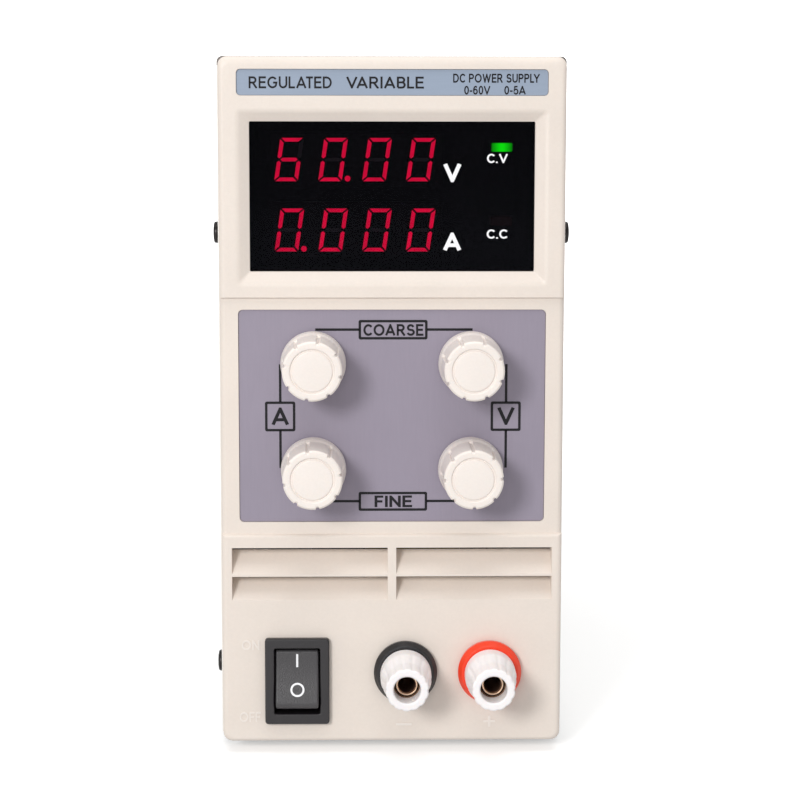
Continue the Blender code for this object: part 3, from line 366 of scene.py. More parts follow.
def stroke(path, width):
    """The outline of a pen stroke, or its two outlines where the path is a ring."""
    ring = path[0] == path[-1] or (Vector(path[0]) - Vector(path[-1])).length < 1e-6
    points = [Vector(p) for p in (path[:-1] if ring else path)]
    sides = ([], [])
    for i, point in enumerate(points):
        before = point - points[i - 1] if ring or i else points[1] - point
        after = points[(i + 1) % len(points)] - point if ring or i + 1 < len(points) else before
        before, after = before.normalized(), after.normalized()
        across = Vector((-(before + after).y, (before + after).x)).normalized()
        reach = width / 2 / max(across.dot(Vector((-before.y, before.x))), 0.2)
        sides[0].append(point + across * reach)
        sides[1].append(point - across * reach)
    return sides if ring else [sides[0] + sides[1][::-1]]


def clipped(outline, level, sign):
    """The part of an outline above a level, or below it where sign is -1."""
    out = []
    for i, point in enumerate(outline):
        before = outline[i - 1]
        was, now = (sign * (p.y - level) for p in (before, point))
        if was * now < 0:
            out.append(before.lerp(point, was / (was - now)))
        if now >= 0:
            out.append(point)
    return out


def lettering(text, area, near, thick, weight=0.15):
    """Text that fills an area (left, right, low, high), standing thick proud towards the front of near."""
    left, right, low, high = area
    pen = 0.0
    shapes = []
    for before, character in zip(" " + text, text):
        pen -= KERNING.get(before + character, 0)
        drawn = []
        for line in LETTERS[character]:
            path = [(x * (1 - weight), weight / 2 + z * (1 - weight)) for x, z in line]
            sides = stroke(path, weight)
            drawn.append(sides if len(sides) == 2 else [clipped(clipped(sides[0], 0, 1), 1, -1)])
        across = [p.x for sides in drawn for side in sides for p in side]
        start = min(across, default=0)
        for i, sides in enumerate(drawn):
            flat = [[(p.x - start + pen, p.y) for p in side] for side in sides]
            shapes.append((thick + STAGGER * i, flat))
        pen += max(across, default=SPACE) - start + LETTER_GAP
    wide = (right - left) / (pen - LETTER_GAP)
    parts = []
    for proud, sides in shapes:
        flat = [[(left + x * wide, low + z * (high - low)) for x, z in side] for side in sides]
        front = near - proud
        if len(flat) == 2:
            parts.append(frame_loft(*flat, front, near))
        else:
            parts.append(prism(flat[0], front, near))
    return joined(*parts)


def words(rows, near, thick):
    """Several pieces of lettering as one shape, from (text, area, weight) rows."""
    return joined(*[lettering(text, area, near, thick, weight) for text, area, weight in rows])


# Materials


def linear(*rgb):
    """sRGB from 0 to 255 as linear light."""
    return [c / 3294.6 if c <= 10.3 else ((c / 255 + 0.055) / 1.055) ** 2.4 for c in rgb]


class Paint:
    """A Principled material with helpers for its nodes. Coordinates are the piece's own, in millimetres."""

    def __init__(self, name, rgb, roughness, metallic=0.0, specular=0.5):
        self.material = bpy.data.materials.new(name)
        self.material.use_nodes = True
        self.nodes = self.material.node_tree.nodes
        self.shader = self.nodes["Principled BSDF"]
        self.colour = (*linear(*rgb), 1.0)
        self.roughness = roughness
        self.set("Base Color", self.colour)
        self.set("Roughness", roughness)
        self.set("Metallic", metallic)
        self.set("Specular IOR Level", specular)
        self.place = self.node("ShaderNodeTexCoord").outputs["Object"]

    def feed(self, node, inputs):
        """Gives each input a value, or another node's output to follow."""
        for key, value in inputs.items():
            if isinstance(value, bpy.types.NodeSocket):
                self.material.node_tree.links.new(value, node.inputs[key])
            else:
                node.inputs[key].default_value = value

    def node(self, kind, inputs=None, **settings):
        made = self.nodes.new(kind)
        for key, value in settings.items():
            setattr(made, key, value)
        self.feed(made, inputs or {})
        return made

    def set(self, name, value):
        self.feed(self.shader, {name: value})

    def noise(self, size, detail=2.0, stretch=None):
        """Noise whose features are about size millimetres across, from 0 to 1."""
        place = self.place
        if stretch:
            mapping = {"Scale": stretch, "Vector": place}
            place = self.node("ShaderNodeMapping", mapping).outputs["Vector"]
        inputs = {"Scale": 1 / (size * MM), "Detail": detail, "Vector": place}
        return self.node("ShaderNodeTexNoise", inputs).outputs["Fac"]

    def cells(self, size, feature="F1", output="Distance"):
        inputs = {"Scale": 1 / (size * MM), "Vector": self.place}
        return self.node("ShaderNodeTexVoronoi", inputs, feature=feature).outputs[output]

    def ranged(self, value, low, high, start=0.25, end=0.75):
        spans = {"From Min": start, "From Max": end, "To Min": low, "To Max": high}
        return self.node("ShaderNodeMapRange", {"Value": value, **spans}).outputs["Result"]

    def mixed(self, factor, first, second, blend="MIX"):
        """A colour between two, each a colour or another node's output."""
        inputs = {0: factor, 6: first, 7: second}
        return self.node("ShaderNodeMix", inputs, data_type="RGBA", blend_type=blend).outputs[2]

    def tinted(self, value, amount):
        """The colour made lighter and darker by amount as value runs from low to high."""
        shade = self.ranged(value, 1 - amount, 1 + amount * 0.5)
        grey = self.node("ShaderNodeCombineColor", {i: shade for i in range(3)})
        current = self.shader.inputs["Base Color"]
        base = current.links[0].from_socket if current.is_linked else self.colour
        self.set("Base Color", self.mixed(1.0, base, grey.outputs[0], "MULTIPLY"))

    def patchy(self, size, spread):
        """Roughness that varies in soft patches."""
        value = self.noise(size, 3)
        self.set("Roughness", self.ranged(value, self.roughness - spread, self.roughness + spread))

    def bumped(self, value, depth):
        bump = self.node("ShaderNodeBump", {"Distance": depth * MM, "Strength": 1.0, "Height": value})
        current = self.shader.inputs["Normal"]
        if current.is_linked:
            self.feed(bump, {"Normal": current.links[0].from_socket})
        self.set("Normal", bump.outputs["Normal"])


def moulded(name, rgb, roughness, grain=0.35, depth=0.006, specular=0.5, soft=0.0):
    """Moulded plastic: a fine spark-eroded grain over slow waves, and slightly uneven gloss and colour."""
    paint = Paint(name, rgb, roughness, specular=specular)
    paint.bumped(paint.noise(grain, 3), depth)
    paint.bumped(paint.noise(9, 1), 0.02)
    paint.tinted(paint.noise(14, 2), 0.03)
    paint.tinted(paint.noise(grain * 2, 2), 0.02)
    paint.patchy(5, 0.05)
    if soft:
        paint.set("Subsurface Weight", soft)
        paint.set("Subsurface Radius", (0.0012, 0.0009, 0.0007))
        paint.set("Subsurface Scale", 1.0)
    return paint.material


def metal(name, rgb, roughness, stretch=(1, 1, 1), tint=0.08):
    """Metal with a directional finish where stretch shortens one axis."""
    paint = Paint(name, rgb, roughness, 1.0)
    paint.bumped(paint.noise(0.12, 3, stretch), 0.002)
    paint.tinted(paint.noise(3, 3, stretch), tint)
    paint.patchy(4, 0.08)
    return paint.material


def powder_coat():
    paint = Paint("powder_coat", (240, 237, 232), 0.42)
    paint.bumped(paint.noise(0.9, 1), 0.02)
    paint.bumped(paint.noise(0.25, 2), 0.004)
    paint.tinted(paint.noise(20, 2), 0.02)
    paint.patchy(8, 0.05)
    return paint.material


def zinc():
    """Galvanised sheet with large pale crystals and fine rolling marks."""
    paint = Paint("zinc", (158, 160, 161), 0.4, 1.0)
    tone = paint.node("ShaderNodeSeparateColor", {0: paint.cells(4.5, output="Color")})
    paint.tinted(tone.outputs[0], 0.07)
    paint.set("Roughness", paint.ranged(tone.outputs[1], 0.36, 0.46, 0, 1))
    paint.bumped(paint.noise(0.4, 3, (1, 0.06, 1)), 0.002)
    return paint.material


def film(name, rgb, stretch):
    """A printed polycarbonate sheet: a fine velvet grain and faint streaks."""
    paint = Paint(name, rgb, 0.46)
    paint.bumped(paint.noise(0.18, 2), 0.003)
    paint.tinted(paint.noise(0.5, 2, stretch), 0.025)
    paint.tinted(paint.noise(18, 2), 0.03)
    paint.patchy(6, 0.05)
    return paint.material


def ink(name, rgb):
    paint = Paint(name, rgb, 0.55, specular=0.25)
    paint.bumped(paint.noise(0.15, 2), 0.004)
    paint.tinted(paint.noise(0.4, 2), 0.06)
    return paint.material


def circuit_board(name, mask, raised):
    """Solder mask over fine copper tracks."""
    paint = Paint(name, mask, 0.35)
    tracks = paint.ranged(paint.cells(3.2, "DISTANCE_TO_EDGE"), 1, 0, 0.04, 0.09)
    paint.set("Base Color", paint.mixed(tracks, paint.colour, (*linear(*raised), 1)))
    paint.tinted(paint.noise(2, 2), 0.08)
    paint.bumped(tracks, 0.035)
    paint.bumped(paint.noise(0.2, 2), 0.004)
    return paint.material


def lens():
    """Dark display window: tinted clear plastic with a weak, even reflection."""
    paint = Paint("smoked_window", (10, 9, 11), 0.05)
    shade = paint.mixed(paint.noise(12, 2), (0.33, 0.32, 0.34, 1), (0.36, 0.34, 0.36, 1))
    tint = paint.node("ShaderNodeBsdfTransparent", {"Color": shade})
    rough = paint.ranged(paint.noise(6, 2), 0.05, 0.09)
    gloss = paint.node("ShaderNodeBsdfGlossy", {"Color": (0.75, 0.8, 1, 1), "Roughness": rough})
    fresnel = paint.node("ShaderNodeFresnel", {"IOR": 1.16})
    shaders = {0: fresnel.outputs[0], 1: tint.outputs[0], 2: gloss.outputs[0]}
    mix = paint.node("ShaderNodeMixShader", shaders)
    paint.feed(paint.nodes["Material Output"], {"Surface": mix.outputs[0]})
    paint.nodes.remove(paint.shader)
    return paint.material


def glowing(name, rgb, light, strength):
    """A lit display element, a little brighter in places as diffused light is."""
    paint = Paint(name, rgb, 0.4)
    paint.set("Emission Color", (*light, 1))
    paint.set("Emission Strength", paint.ranged(paint.noise(3.0, 1), strength * 0.85, strength * 1.1))
    paint.bumped(paint.noise(0.2, 2), 0.004)
    return paint.material


def led_glow(middle_x):
    """The lit status lens: it shines from its front, brightest in the middle and falling off to both ends."""
    paint = Paint("green_glow", (20, 120, 30), 0.3)

    def sums(operation, *values):
        return paint.node("ShaderNodeMath", dict(enumerate(values)), operation=operation).outputs[0]

    split = paint.node("ShaderNodeSeparateXYZ", {0: paint.place})
    distance = sums("ABSOLUTE", sums("SUBTRACT", split.outputs[0], middle_x * MM))
    glow = paint.ranged(distance, 6.5, 0.9, 0.0003, 0.0026)
    normal = paint.node("ShaderNodeTexCoord").outputs["Normal"]
    facing = paint.node("ShaderNodeSeparateXYZ", {0: normal})
    front = paint.ranged(facing.outputs[1], 1, 0, -0.9, -0.5)
    paint.set("Emission Color", (0.002, 1, 0.002, 1))
    paint.set("Emission Strength", sums("MULTIPLY", glow, front))
    paint.bumped(paint.noise(0.3, 2), 0.006)
    return paint.material


def wound(name, rgb):
    paint = Paint(name, rgb, 0.3, 1.0)
    paint.tinted(paint.noise(1.2, 3), 0.15)
    paint.bumped(paint.noise(0.3, 2), 0.004)
    return paint.material


CREAM = moulded("cream_moulding", (230, 219, 209), 0.46, soft=0.05)
KNOB = moulded("knob_moulding", (240, 231, 224), 0.38, grain=0.25, depth=0.003, soft=0.08)
# Painted highlight: the raised marks are the face's own plastic, coloured a lighter cream for the light their
# edges catch.
MARKS_HIGHLIGHT = moulded("marks_painted_highlight", (238, 229, 221), 0.4, soft=0.05)
WHITE = moulded("white_nylon", (247, 243, 243), 0.36, grain=0.3, depth=0.004, soft=0.15)
RED = moulded("red_nylon", (242, 62, 26), 0.36, grain=0.3, depth=0.004)
BLACK = moulded("black_nylon", (30, 29, 31), 0.4, grain=0.3, depth=0.005)
SWITCH = moulded("switch_moulding", (28, 25, 28), 0.42, grain=0.22, depth=0.005)
ROCKER = moulded("rocker_moulding", (60, 58, 60), 0.42, grain=0.32, depth=0.09)
FAN = moulded("fan_moulding", (30, 30, 31), 0.45, grain=0.4, depth=0.006)
INLET = moulded("inlet_moulding", (34, 34, 35), 0.4, grain=0.3, depth=0.005)
SLIDER = moulded("slider_moulding", (170, 26, 20), 0.38, grain=0.3, depth=0.004)
RUBBER = moulded("foot_rubber", (38, 37, 37), 0.8, grain=0.5, depth=0.03, specular=0.3)
EPOXY = moulded("display_epoxy", (22, 20, 21), 0.45, grain=0.3, depth=0.004)
SLEEVE = moulded("capacitor_sleeve", (30, 34, 62), 0.32, grain=0.5, depth=0.004)
TAPE = moulded("winding_tape", (206, 170, 60), 0.35, grain=1.2, depth=0.02)
FERRITE = moulded("ferrite_core", (58, 56, 55), 0.6, grain=0.4, depth=0.02)
COVER = powder_coat()
ZINC = zinc()
BRASS = metal("brass", (226, 196, 168), 0.3)
# Painted shade: the brass darkened for the post inserts, which lie in shade deep inside the caps' mouths.
SHADED_BRASS = metal("brass_painted_shade", (120, 92, 72), 0.45)
STEEL = metal("turned_steel", (196, 196, 196), 0.3)
BLACKENED = metal("blackened_steel", (52, 50, 50), 0.38)
CHROME = metal("chromed_wire", (196, 197, 200), 0.16, tint=0.04)
TINNED = metal("tinned_pins", (206, 206, 204), 0.25)
ALLOY = metal("heatsink_alloy", (176, 178, 180), 0.4, (1, 0.05, 1))
COPPER = wound("copper_wire", (206, 120, 70))
NAME_FILM = film("name_film", (145, 158, 177), (0.08, 1, 1))
OVERLAY_FILM = film("overlay_film", (146, 138, 153), (1, 1, 0.1))
DARK_INK = ink("dark_ink", (12, 11, 16))
WHITE_INK = ink("white_ink", (244, 244, 246))
BOARD = circuit_board("solder_mask", (24, 92, 52), (48, 128, 72))
BLACK_BOARD = circuit_board("black_solder_mask", (20, 20, 24), (30, 30, 36))
WINDOW = lens()
LIT = glowing("lit_segments", (110, 10, 20), (1.0, 0.002, 0.06), 4.6)
UNLIT = moulded("unlit_segments", (140, 134, 140), 0.5)
RED_LENS = moulded("red_lens", (132, 84, 82), 0.3, grain=0.3, depth=0.004)
# Painted shade: dark brown for a thin liner laid over each socket's bore, where the bore lies in shade.
BORE_SHADE = metal("bore_painted_shade", (132, 102, 88), 0.55)
# The cover's bare cut edge in dark grey, which also paints the shade in the gap behind the panel's top edge
# and corners.
CUT_EDGE_AND_SHADE = metal("cut_edge_and_painted_shade", (112, 107, 104), 0.5)


def piece(name, bm, material, body, stands_for=(), sharp=32):
    """A finished piece from a shape in the front frame."""
    for v in bm.verts:
        v.co = v.co * MM + DATUM
    bmesh.ops.dissolve_degenerate(bm, edges=bm.edges, dist=1e-9)
    mesh = mesh_from(bm, name)
    mesh.materials.append(material)
    mesh.shade_smooth()
    mesh.set_sharp_from_angle(angle=math.radians(sharp))
    obj = placed(name, mesh)
    normals = obj.modifiers.new("normals", "WEIGHTED_NORMAL")
    normals.keep_sharp = True
    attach(obj, body)
    if stands_for:
        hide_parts(*([stands_for] if isinstance(stands_for, str) else stands_for))
    return obj


# Front panel

PANEL_HALF = 40.1
PANEL_TOP = 161.3
CORNER = 2.2
SIDE_ROUND = 1.3
TOP_ROUND = 2.0
STEP_LOW = 50.2
STEP_HIGH = 105.8
STEP_DEPTH = 0.9
BEZEL_DEPTH = 7.7
FRONT_WALL = 4.0
LOUVRE_DEPTH = 6.3
LOUVRE_BACK = 5.0
FIT = 0.06


def front_shell():
    """The moulded front: a stepped face with rounded edges, a bevelled display opening and louvres."""

    def outline(inset, low, high, low_corner, high_corner, low_round, high_round):
        share = inset / SIDE_ROUND
        half = PANEL_HALF - inset
        bottom = (low + low_round * share, max(low_corner - inset / 2, 0.05))
        top = (high - high_round * share, max(high_corner - inset / 2, 0.05))
        return soften([(-half, *bottom), (half, *bottom), (half, *top), (-half, *top)], 1)

    def step(near, *shape):
        return slab(lambda inset: outline(inset, *shape), near, BEZEL_DEPTH, SIDE_ROUND, 0, 6)

    base = step(STEP_DEPTH, 0, PANEL_TOP, CORNER, CORNER, 1.0, 1.5)
    upper = step(0, STEP_HIGH, PANEL_TOP, 0.1, CORNER, 0.25, TOP_ROUND)
    lower = step(0, 0, STEP_LOW, CORNER, 0.1, 1.0, 0.8)
    shell = united(base, upper, lower)
    shell = united(shell, prism(rect(39.5, 1.8, 160.4, CORNER), BEZEL_DEPTH - 1, 26.5))
    shell = cut(shell, prism(rect(PANEL_HALF - 2.4, 4.2, 158.6, CORNER), FRONT_WALL, 30))
    shell = united(shell, prism(rect(37.9, 32.5, 48.4), FRONT_WALL - 0.2, LOUVRE_BACK))
    name_pocket = clearance("name_plate", FIT, -0.001, 1.0, 0.95)
    overlay_pocket = clearance("control_overlay", FIT, STEP_DEPTH - 0.5, 1.9, 1.1)
    spans = ((-37.7, -1.0), (1.0, 37.7))
    rows = ((34.4, 40.05), (40.6, 46.95))
    louvres = joined(*[louvre(span, row) for span in spans for row in rows])
    shell = cut(shell, name_pocket, overlay_pocket, display_opening(), louvres)
    seat = clearance("display_window", 0.3, 3.0, 5.0)
    c = middle("switch_frame")
    switch_hole = prism(rect(6.7, c.z - 9.65, c.z + 9.65, mid=c.x), -1, 5)
    knob_holes = round_holes(KNOBS, KNOB_HOLE, 0, 5)
    post_holes = round_holes(("negative_post_stud", "positive_post_stud"), 3.6, -1, 5)
    shell = cut(shell, seat, joined(switch_hole, knob_holes, post_holes))
    piece("front_moulding", shell, CREAM, "case", "front_panel", sharp=28)


def display_opening():
    """Cutter for the display: a soft outer edge, a slope on all four sides, and a straight opening."""
    half, low, high = 35.6, 109.1, 148.9
    in_half, in_low, in_high = 33.0, 111.9, 146.5
    depth = 1.6
    radius = 2.6
    slope = math.atan2(depth, half - in_half)
    reach = radius * math.tan(slope / 2)

    def ring(side, y, corner):
        z_low = low - side * (in_low - low) / (half - in_half)
        z_high = high + side * (high - in_high) / (half - in_half)
        return at(rect(half + side, z_low, z_high, corner), y)

    loops = [ring(reach, -1, 1.4)]
    steps = 5
    for k in range(steps + 1):
        turn = slope * k / steps
        side = reach - radius * math.sin(turn)
        loops.append(ring(side, radius * (1 - math.cos(turn)), 1.4 - 0.8 * k / steps))
    loops += [ring(in_half - half, y, 0.3) for y in (depth, 5)]
    return loft(loops)


def louvre(span, row):
    flush, deep = row
    lead = (deep - flush) / LOUVRE_DEPTH
    profile = [(flush - lead, -1), (deep, -1), (deep, LOUVRE_DEPTH)]
    return loft([[(x, y, z) for z, y in profile] for x in span])


KNOB_HOLE = 4.8
PRINT = 0.04
LINE = 0.58
LINE_CORNER = 0.45
KNOBS = ["current_coarse_knob", "voltage_coarse_knob", "current_fine_knob", "voltage_fine_knob"]


def front_marks():
    """Raised marks moulded into the face beside the switch and under the posts."""
    switch_words = (("ON", (-35.5, -31.3, 22.4, 24.8), 0.16), ("OFF", (-36.1, -31.1, 4.9, 7.3), 0.16))
    minus = block((1.0, -0.2, 3.9), (4.8, 0.05, 4.5), 0.05)
    plus = moved(prism(cross(1.4, 0.3), -0.2, 0.05), (23.2, 0, 4.9))
    marks = joined(words(switch_words, 0.02, 0.17), minus, plus)
    # The marks are coloured lighter than the face as a painted highlight.
    piece("marks_painted_highlight", marks, MARKS_HIGHLIGHT, "case")


def name_plate():
    sheet = plate("name_plate", 0.9, 0.08, 0.05)
    piece("name_sheet", sheet, NAME_FILM, "case", "name_plate")
    rows = (
        ("REGULATED", (-32.9, -13.9, 154.0, 156.7), 0.165),
        ("VARIABLE", (-10.6, 7.2, 154.0, 156.7), 0.165),
        ("DC POWER SUPPLY", (13.9, 33.8, 155.35, 157.4), 0.18),
        ("0-60V", (16.45, 22.45, 152.65, 154.65), 0.17), ("0-5A", (25.65, 30.6, 152.65, 154.65), 0.17)
    )
    prints = words(rows, box("name_plate")[0].y + 0.01, PRINT)
    piece("name_print", prints, DARK_INK, "case")


def outline_box(left, right, low, high, near, far):
    """A rounded rectangular line."""
    outer = rect((right - left) / 2, low, high, LINE_CORNER, (left + right) / 2)
    inner = rect((right - left) / 2 - LINE, low + LINE, high - LINE, LINE_CORNER * 0.4, (left + right) / 2)
    return frame_loft(outer, inner, near, far)


def control_overlay():
    sheet = cut(plate("control_overlay", 1.05, 0.08, 0.05), round_holes(KNOBS, KNOB_HOLE, 0, 5))
    piece("overlay_sheet", sheet, OVERLAY_FILM, "case", "control_overlay")
    face = box("control_overlay")[0].y
    near, far = face - 0.03, face + 0.02
    half = LINE / 2
    frames = (
        (-7.82, 8.25, 96.1, 100.68), (-7.85, 8.28, 55.55, 60.08), (-29.7, -22.62, 74.5, 81.55),
        (23.1, 30.15, 74.5, 81.5)
    )
    rows = (
        ("COARSE", (-6.7, 7.3, 96.95, 99.7), 0.19), ("FINE", (-4.1, 4.75, 56.4, 59.2), 0.19),
        ("A", (-28.2, -24.1, 75.95, 80.15), 0.175), ("V", (24.65, 28.75, 75.95, 80.15), 0.175)
    )
    across = ((-17.9, -7.6, 98.42), (8.1, 18.75, 98.42), (-14.5, -7.6, 57.87), (8.1, 15.5, 57.87))
    up = ((-26.12, 81.4, 90.3), (-26.12, 65.8, 74.75), (26.69, 81.3, 90.3), (26.69, 65.8, 74.7))
    prints = joined(
        *[outline_box(*sides, near, far) for sides in frames], words(rows, far, 0.05),
        *[block((left, near, z - half), (right, far, z + half)) for left, right, z in across],
        *[block((x - half, near, bottom), (x + half, far, top)) for x, bottom, top in up]
    )
    piece("overlay_print", prints, DARK_INK, "case")


# Display

DIGIT_HEIGHT = 10.02
DIGIT_WIDTH = 5.5
DIGIT_PITCH = 10.22
DIGIT_LEFT = -27.41
BAR = 0.93
FLAT_BAR = 0.86
BAR_GAP = 0.28
SLANT = math.tan(math.radians(8.5))
LIT_SEGMENTS = {"6": "afgedc", "0": "abcdef"}


def segments():
    """The seven bars of a digit as outlines, by letter, with mitred ends and thin gaps."""
    half = DIGIT_HEIGHT / 2
    mid = FLAT_BAR / 2

    def top(side):
        """One corner's upright bar from (distance in from the digit's side, height) points."""
        corners = [
            (0, half - BAR_GAP), (BAR, half - FLAT_BAR - BAR_GAP), (BAR, mid + BAR_GAP),
            (BAR / 2, BAR_GAP), (0, BAR_GAP + mid * 0.7)
        ]
        return [(x if side < 0 else DIGIT_WIDTH - x, z) for x, z in corners]

    def raised(points, sign=1):
        return [(x, half + sign * z) for x, z in points]

    cap = [
        (BAR_GAP, half), (DIGIT_WIDTH - BAR_GAP, half), (DIGIT_WIDTH - BAR_GAP - BAR, half - FLAT_BAR),
        (BAR_GAP + BAR, half - FLAT_BAR)
    ]
    inset = BAR + BAR_GAP
    bar = [
        (BAR / 2 + BAR_GAP, 0), (inset, mid), (DIGIT_WIDTH - inset, mid),
        (DIGIT_WIDTH - BAR / 2 - BAR_GAP, 0), (DIGIT_WIDTH - inset, -mid), (inset, -mid)
    ]
    return {
        "a": raised(cap), "b": raised(top(1)), "c": raised(top(1), -1), "d": raised(cap, -1),
        "e": raised(top(-1), -1), "f": raised(top(-1)), "g": raised(bar)
    }


def display(node, text, dot_after, low_z):
    piece(f"{node}_block", plate(node, 0.3, 0.12, 0.12), EPOXY, "case", node)
    lit = []
    unlit = []
    face = box(node)[0].y
    near, far = face - 0.04, face + 0.04
    for place, character in enumerate(text):
        left = DIGIT_LEFT + place * DIGIT_PITCH
        for letter, bar in segments().items():
            outline = [(left + x + z * SLANT, low_z + z) for x, z in bar]
            target = lit if letter in LIT_SEGMENTS[character] else unlit
            target.append(prism(outline, near, far))
        if place == dot_after:
            lit.append(prism(circle(0.68, 20, left + DIGIT_WIDTH + 1.36, low_z + 0.62), near, far))
    piece(f"{node}_lit", joined(*lit), LIT, "case")
    piece(f"{node}_unlit", joined(*unlit), UNLIT, "case")


def display_area():
    display("voltage_display", "6000", 1, 132.62)
    display("current_display", "0000", 0, 116.27)
    sheet = plate("display_window", 0.5, 0.15, 0.15)
    piece("window_sheet", sheet, WINDOW, "case", "display_window")
    rows = (
        ("V", (11.85, 16.05, 132.55, 136.9), 0.2), ("A", (11.85, 16.1, 116.6, 120.85), 0.2),
        ("C.V", (21.95, 26.8, 136.95, 139.1), 0.18), ("C.C", (22.0, 26.85, 119.45, 121.6), 0.18)
    )
    prints = words(rows, box("display_window")[0].y, PRINT)
    piece("window_print", prints, WHITE_INK, "case")
    green = led_glow(middle("cv_led").x)
    for node, material, slot in (("cv_led", green, "green_lens"), ("cc_led", RED_LENS, "red_lens")):
        piece(f"{node}_lens", plate(node, 0.3, 0.2, 0.1), material, "case", node)


# Knobs

NOTCHES = 8
NOTCH_LENGTH = 11.4
NOTCH_DEPTH = 0.42
NOTCH_PHASES = (34, 25, 10, 1.5)


def knob(node, phase):
    low, high = box(node)
    front, back = low.y, high.y
    skirt = (high.x - low.x) / 2
    corners = [
        (0, front + 0.1, 0), (4.5, front + 0.1, 0.2), (4.75, front + 0.45, 0.15),
        (4.95, front + 0.45, 0.15), (5.2, front, 0.2), (6.45, front, 0.15), (6.85, front + 0.4, 0.3),
        (7.12, back - 4.6, 2.5), (7.5, back - 3.0, 2.0), (skirt - 0.03, back - 0.4, 0.3),
        (skirt - 0.35, back, 0.15), (5.9, back, 0), (5.9, front + 12.7, 0), (3.3, front + 12.7, 0),
        (3.3, front + 3.9, 0), (0, front + 3.9, 0)
    ]
    profile = soften(corners, 0, closed=False, steps=4)
    points = []
    for near, far in zip(profile, profile[1:]):
        parts = 12 if far[1] - near[1] > 3 and near[0] > 6 else 1
        points += [tuple(a + (b - a) * k / parts for a, b in zip(near, far)) for k in range(parts)]
    points.append(profile[-1])
    pitch = 360 / NOTCHES

    def notched(angle, radius, y):
        if radius < 5.6 or y > front + NOTCH_LENGTH + 0.4:
            return radius
        turn = (math.degrees(angle) - phase) % pitch
        away = min(turn, pitch - turn) * math.radians(1) * 6.8
        across = 1 - min(max((away - 0.3) / 0.14, 0), 1)
        along = min(max((front + NOTCH_LENGTH - y) / 0.5, 0), 1)
        return radius - NOTCH_DEPTH * across * along

    cap = at_node(turned(points, 360, shape=notched), node)
    piece(f"{node}_cap", cap, KNOB, node.rsplit("_", 1)[0], node, sharp=40)


# Rocker switch

TILT = math.radians(11)
PIVOT_Y = 1.5


def on_rocker(c, x, along, out):
    """A point of the tilted rocker: x across, along its face and out of it, from a pivot in line with c."""
    y = along * math.sin(TILT) - out * math.cos(TILT)
    z = along * math.cos(TILT) + out * math.sin(TILT)
    return (c.x + x, PIVOT_Y + y, c.z + z)


def rocker_face(along):
    """How far the dished face stands ahead of the pivot."""
    return 3.35 + 0.75 * (along / 6.9) ** 2


def rocker_switch():
    c = middle("switch_frame")
    low, high = box("switch_frame")
    size = ((high.x - low.x) / 2, low.z, high.z - 0.2, c.x)
    bezel = round_slab(size, low.y, -0.3, 0.75, 0.4, 0.05)
    body = prism(rect(6.4, c.z - 9.35, c.z + 9.35, 0.6, c.x), -1, high.y)
    lip = 0.35

    def mouth(spread, y):
        return at(rect(5.4 + spread, c.z - 7.9 - spread, c.z + 7.9 + spread, 0.4 + spread, c.x), y)

    rounded = [mouth(lip * s, low.y + lip * t) for s, t in quarter()]
    shell = cut(united(bezel, body), loft([mouth(lip, low.y - 1), *rounded, mouth(0, 12)]))
    piece("switch_bezel", shell, SWITCH, "case", "switch_frame", sharp=30)

    reach = 6.9
    lower = 7.0
    profile = [(-lower, rocker_face(-lower), 2.0)]
    profile += [(along, rocker_face(along), 0) for along in range(-4, 6)]
    profile += [(reach, rocker_face(reach), 0.7)]
    profile += [(reach, 0.5, 0.2), (3.5, -4.0, 0.5), (-3.5, -4.0, 0.5), (-lower - 0.2, 0.5, 0.2)]
    corners = soften(profile, 0, steps=4)

    def side(x, inset):
        return [on_rocker(c, x, along * (1 - inset / 7), out * (1 - inset / 5)) for along, out in corners]

    half = 5.05
    edge = 0.5
    loops = [side(-half + edge * t, edge * s * 0.9) for s, t in quarter()]
    loops += [side(half - edge * s, edge * t * 0.9) for s, t in quarter()]
    piece("rocker_cap", loft(loops), ROCKER, "switch_rocker", "switch_rocker", sharp=40)

    def mark(outline, lift):
        """An outline of (x, along) points lifted off the dished face."""
        return [on_rocker(c, x, along, rocker_face(along) + lift) for x, along in outline]

    stations = (2.75, 3.7, 4.8, 5.85)
    bar = [(0.24, along) for along in stations] + [(-0.24, along) for along in stations[::-1]]
    outer = circle(1.66, 48, 0.05, -2.6)
    inner = circle(1.2, 48, 0.05, -2.6)
    ring = loft(
        [mark(outer, -0.03), mark(outer, 0.03), mark(inner, 0.03), mark(inner, -0.03)], closed=True
    )
    marks = joined(loft([mark(bar, -0.03), mark(bar, 0.03)]), ring)
    piece("rocker_marks", marks, WHITE_INK, "switch_rocker")


# Binding posts

FLUTES = 14
FLUTE_DEPTH = 0.2


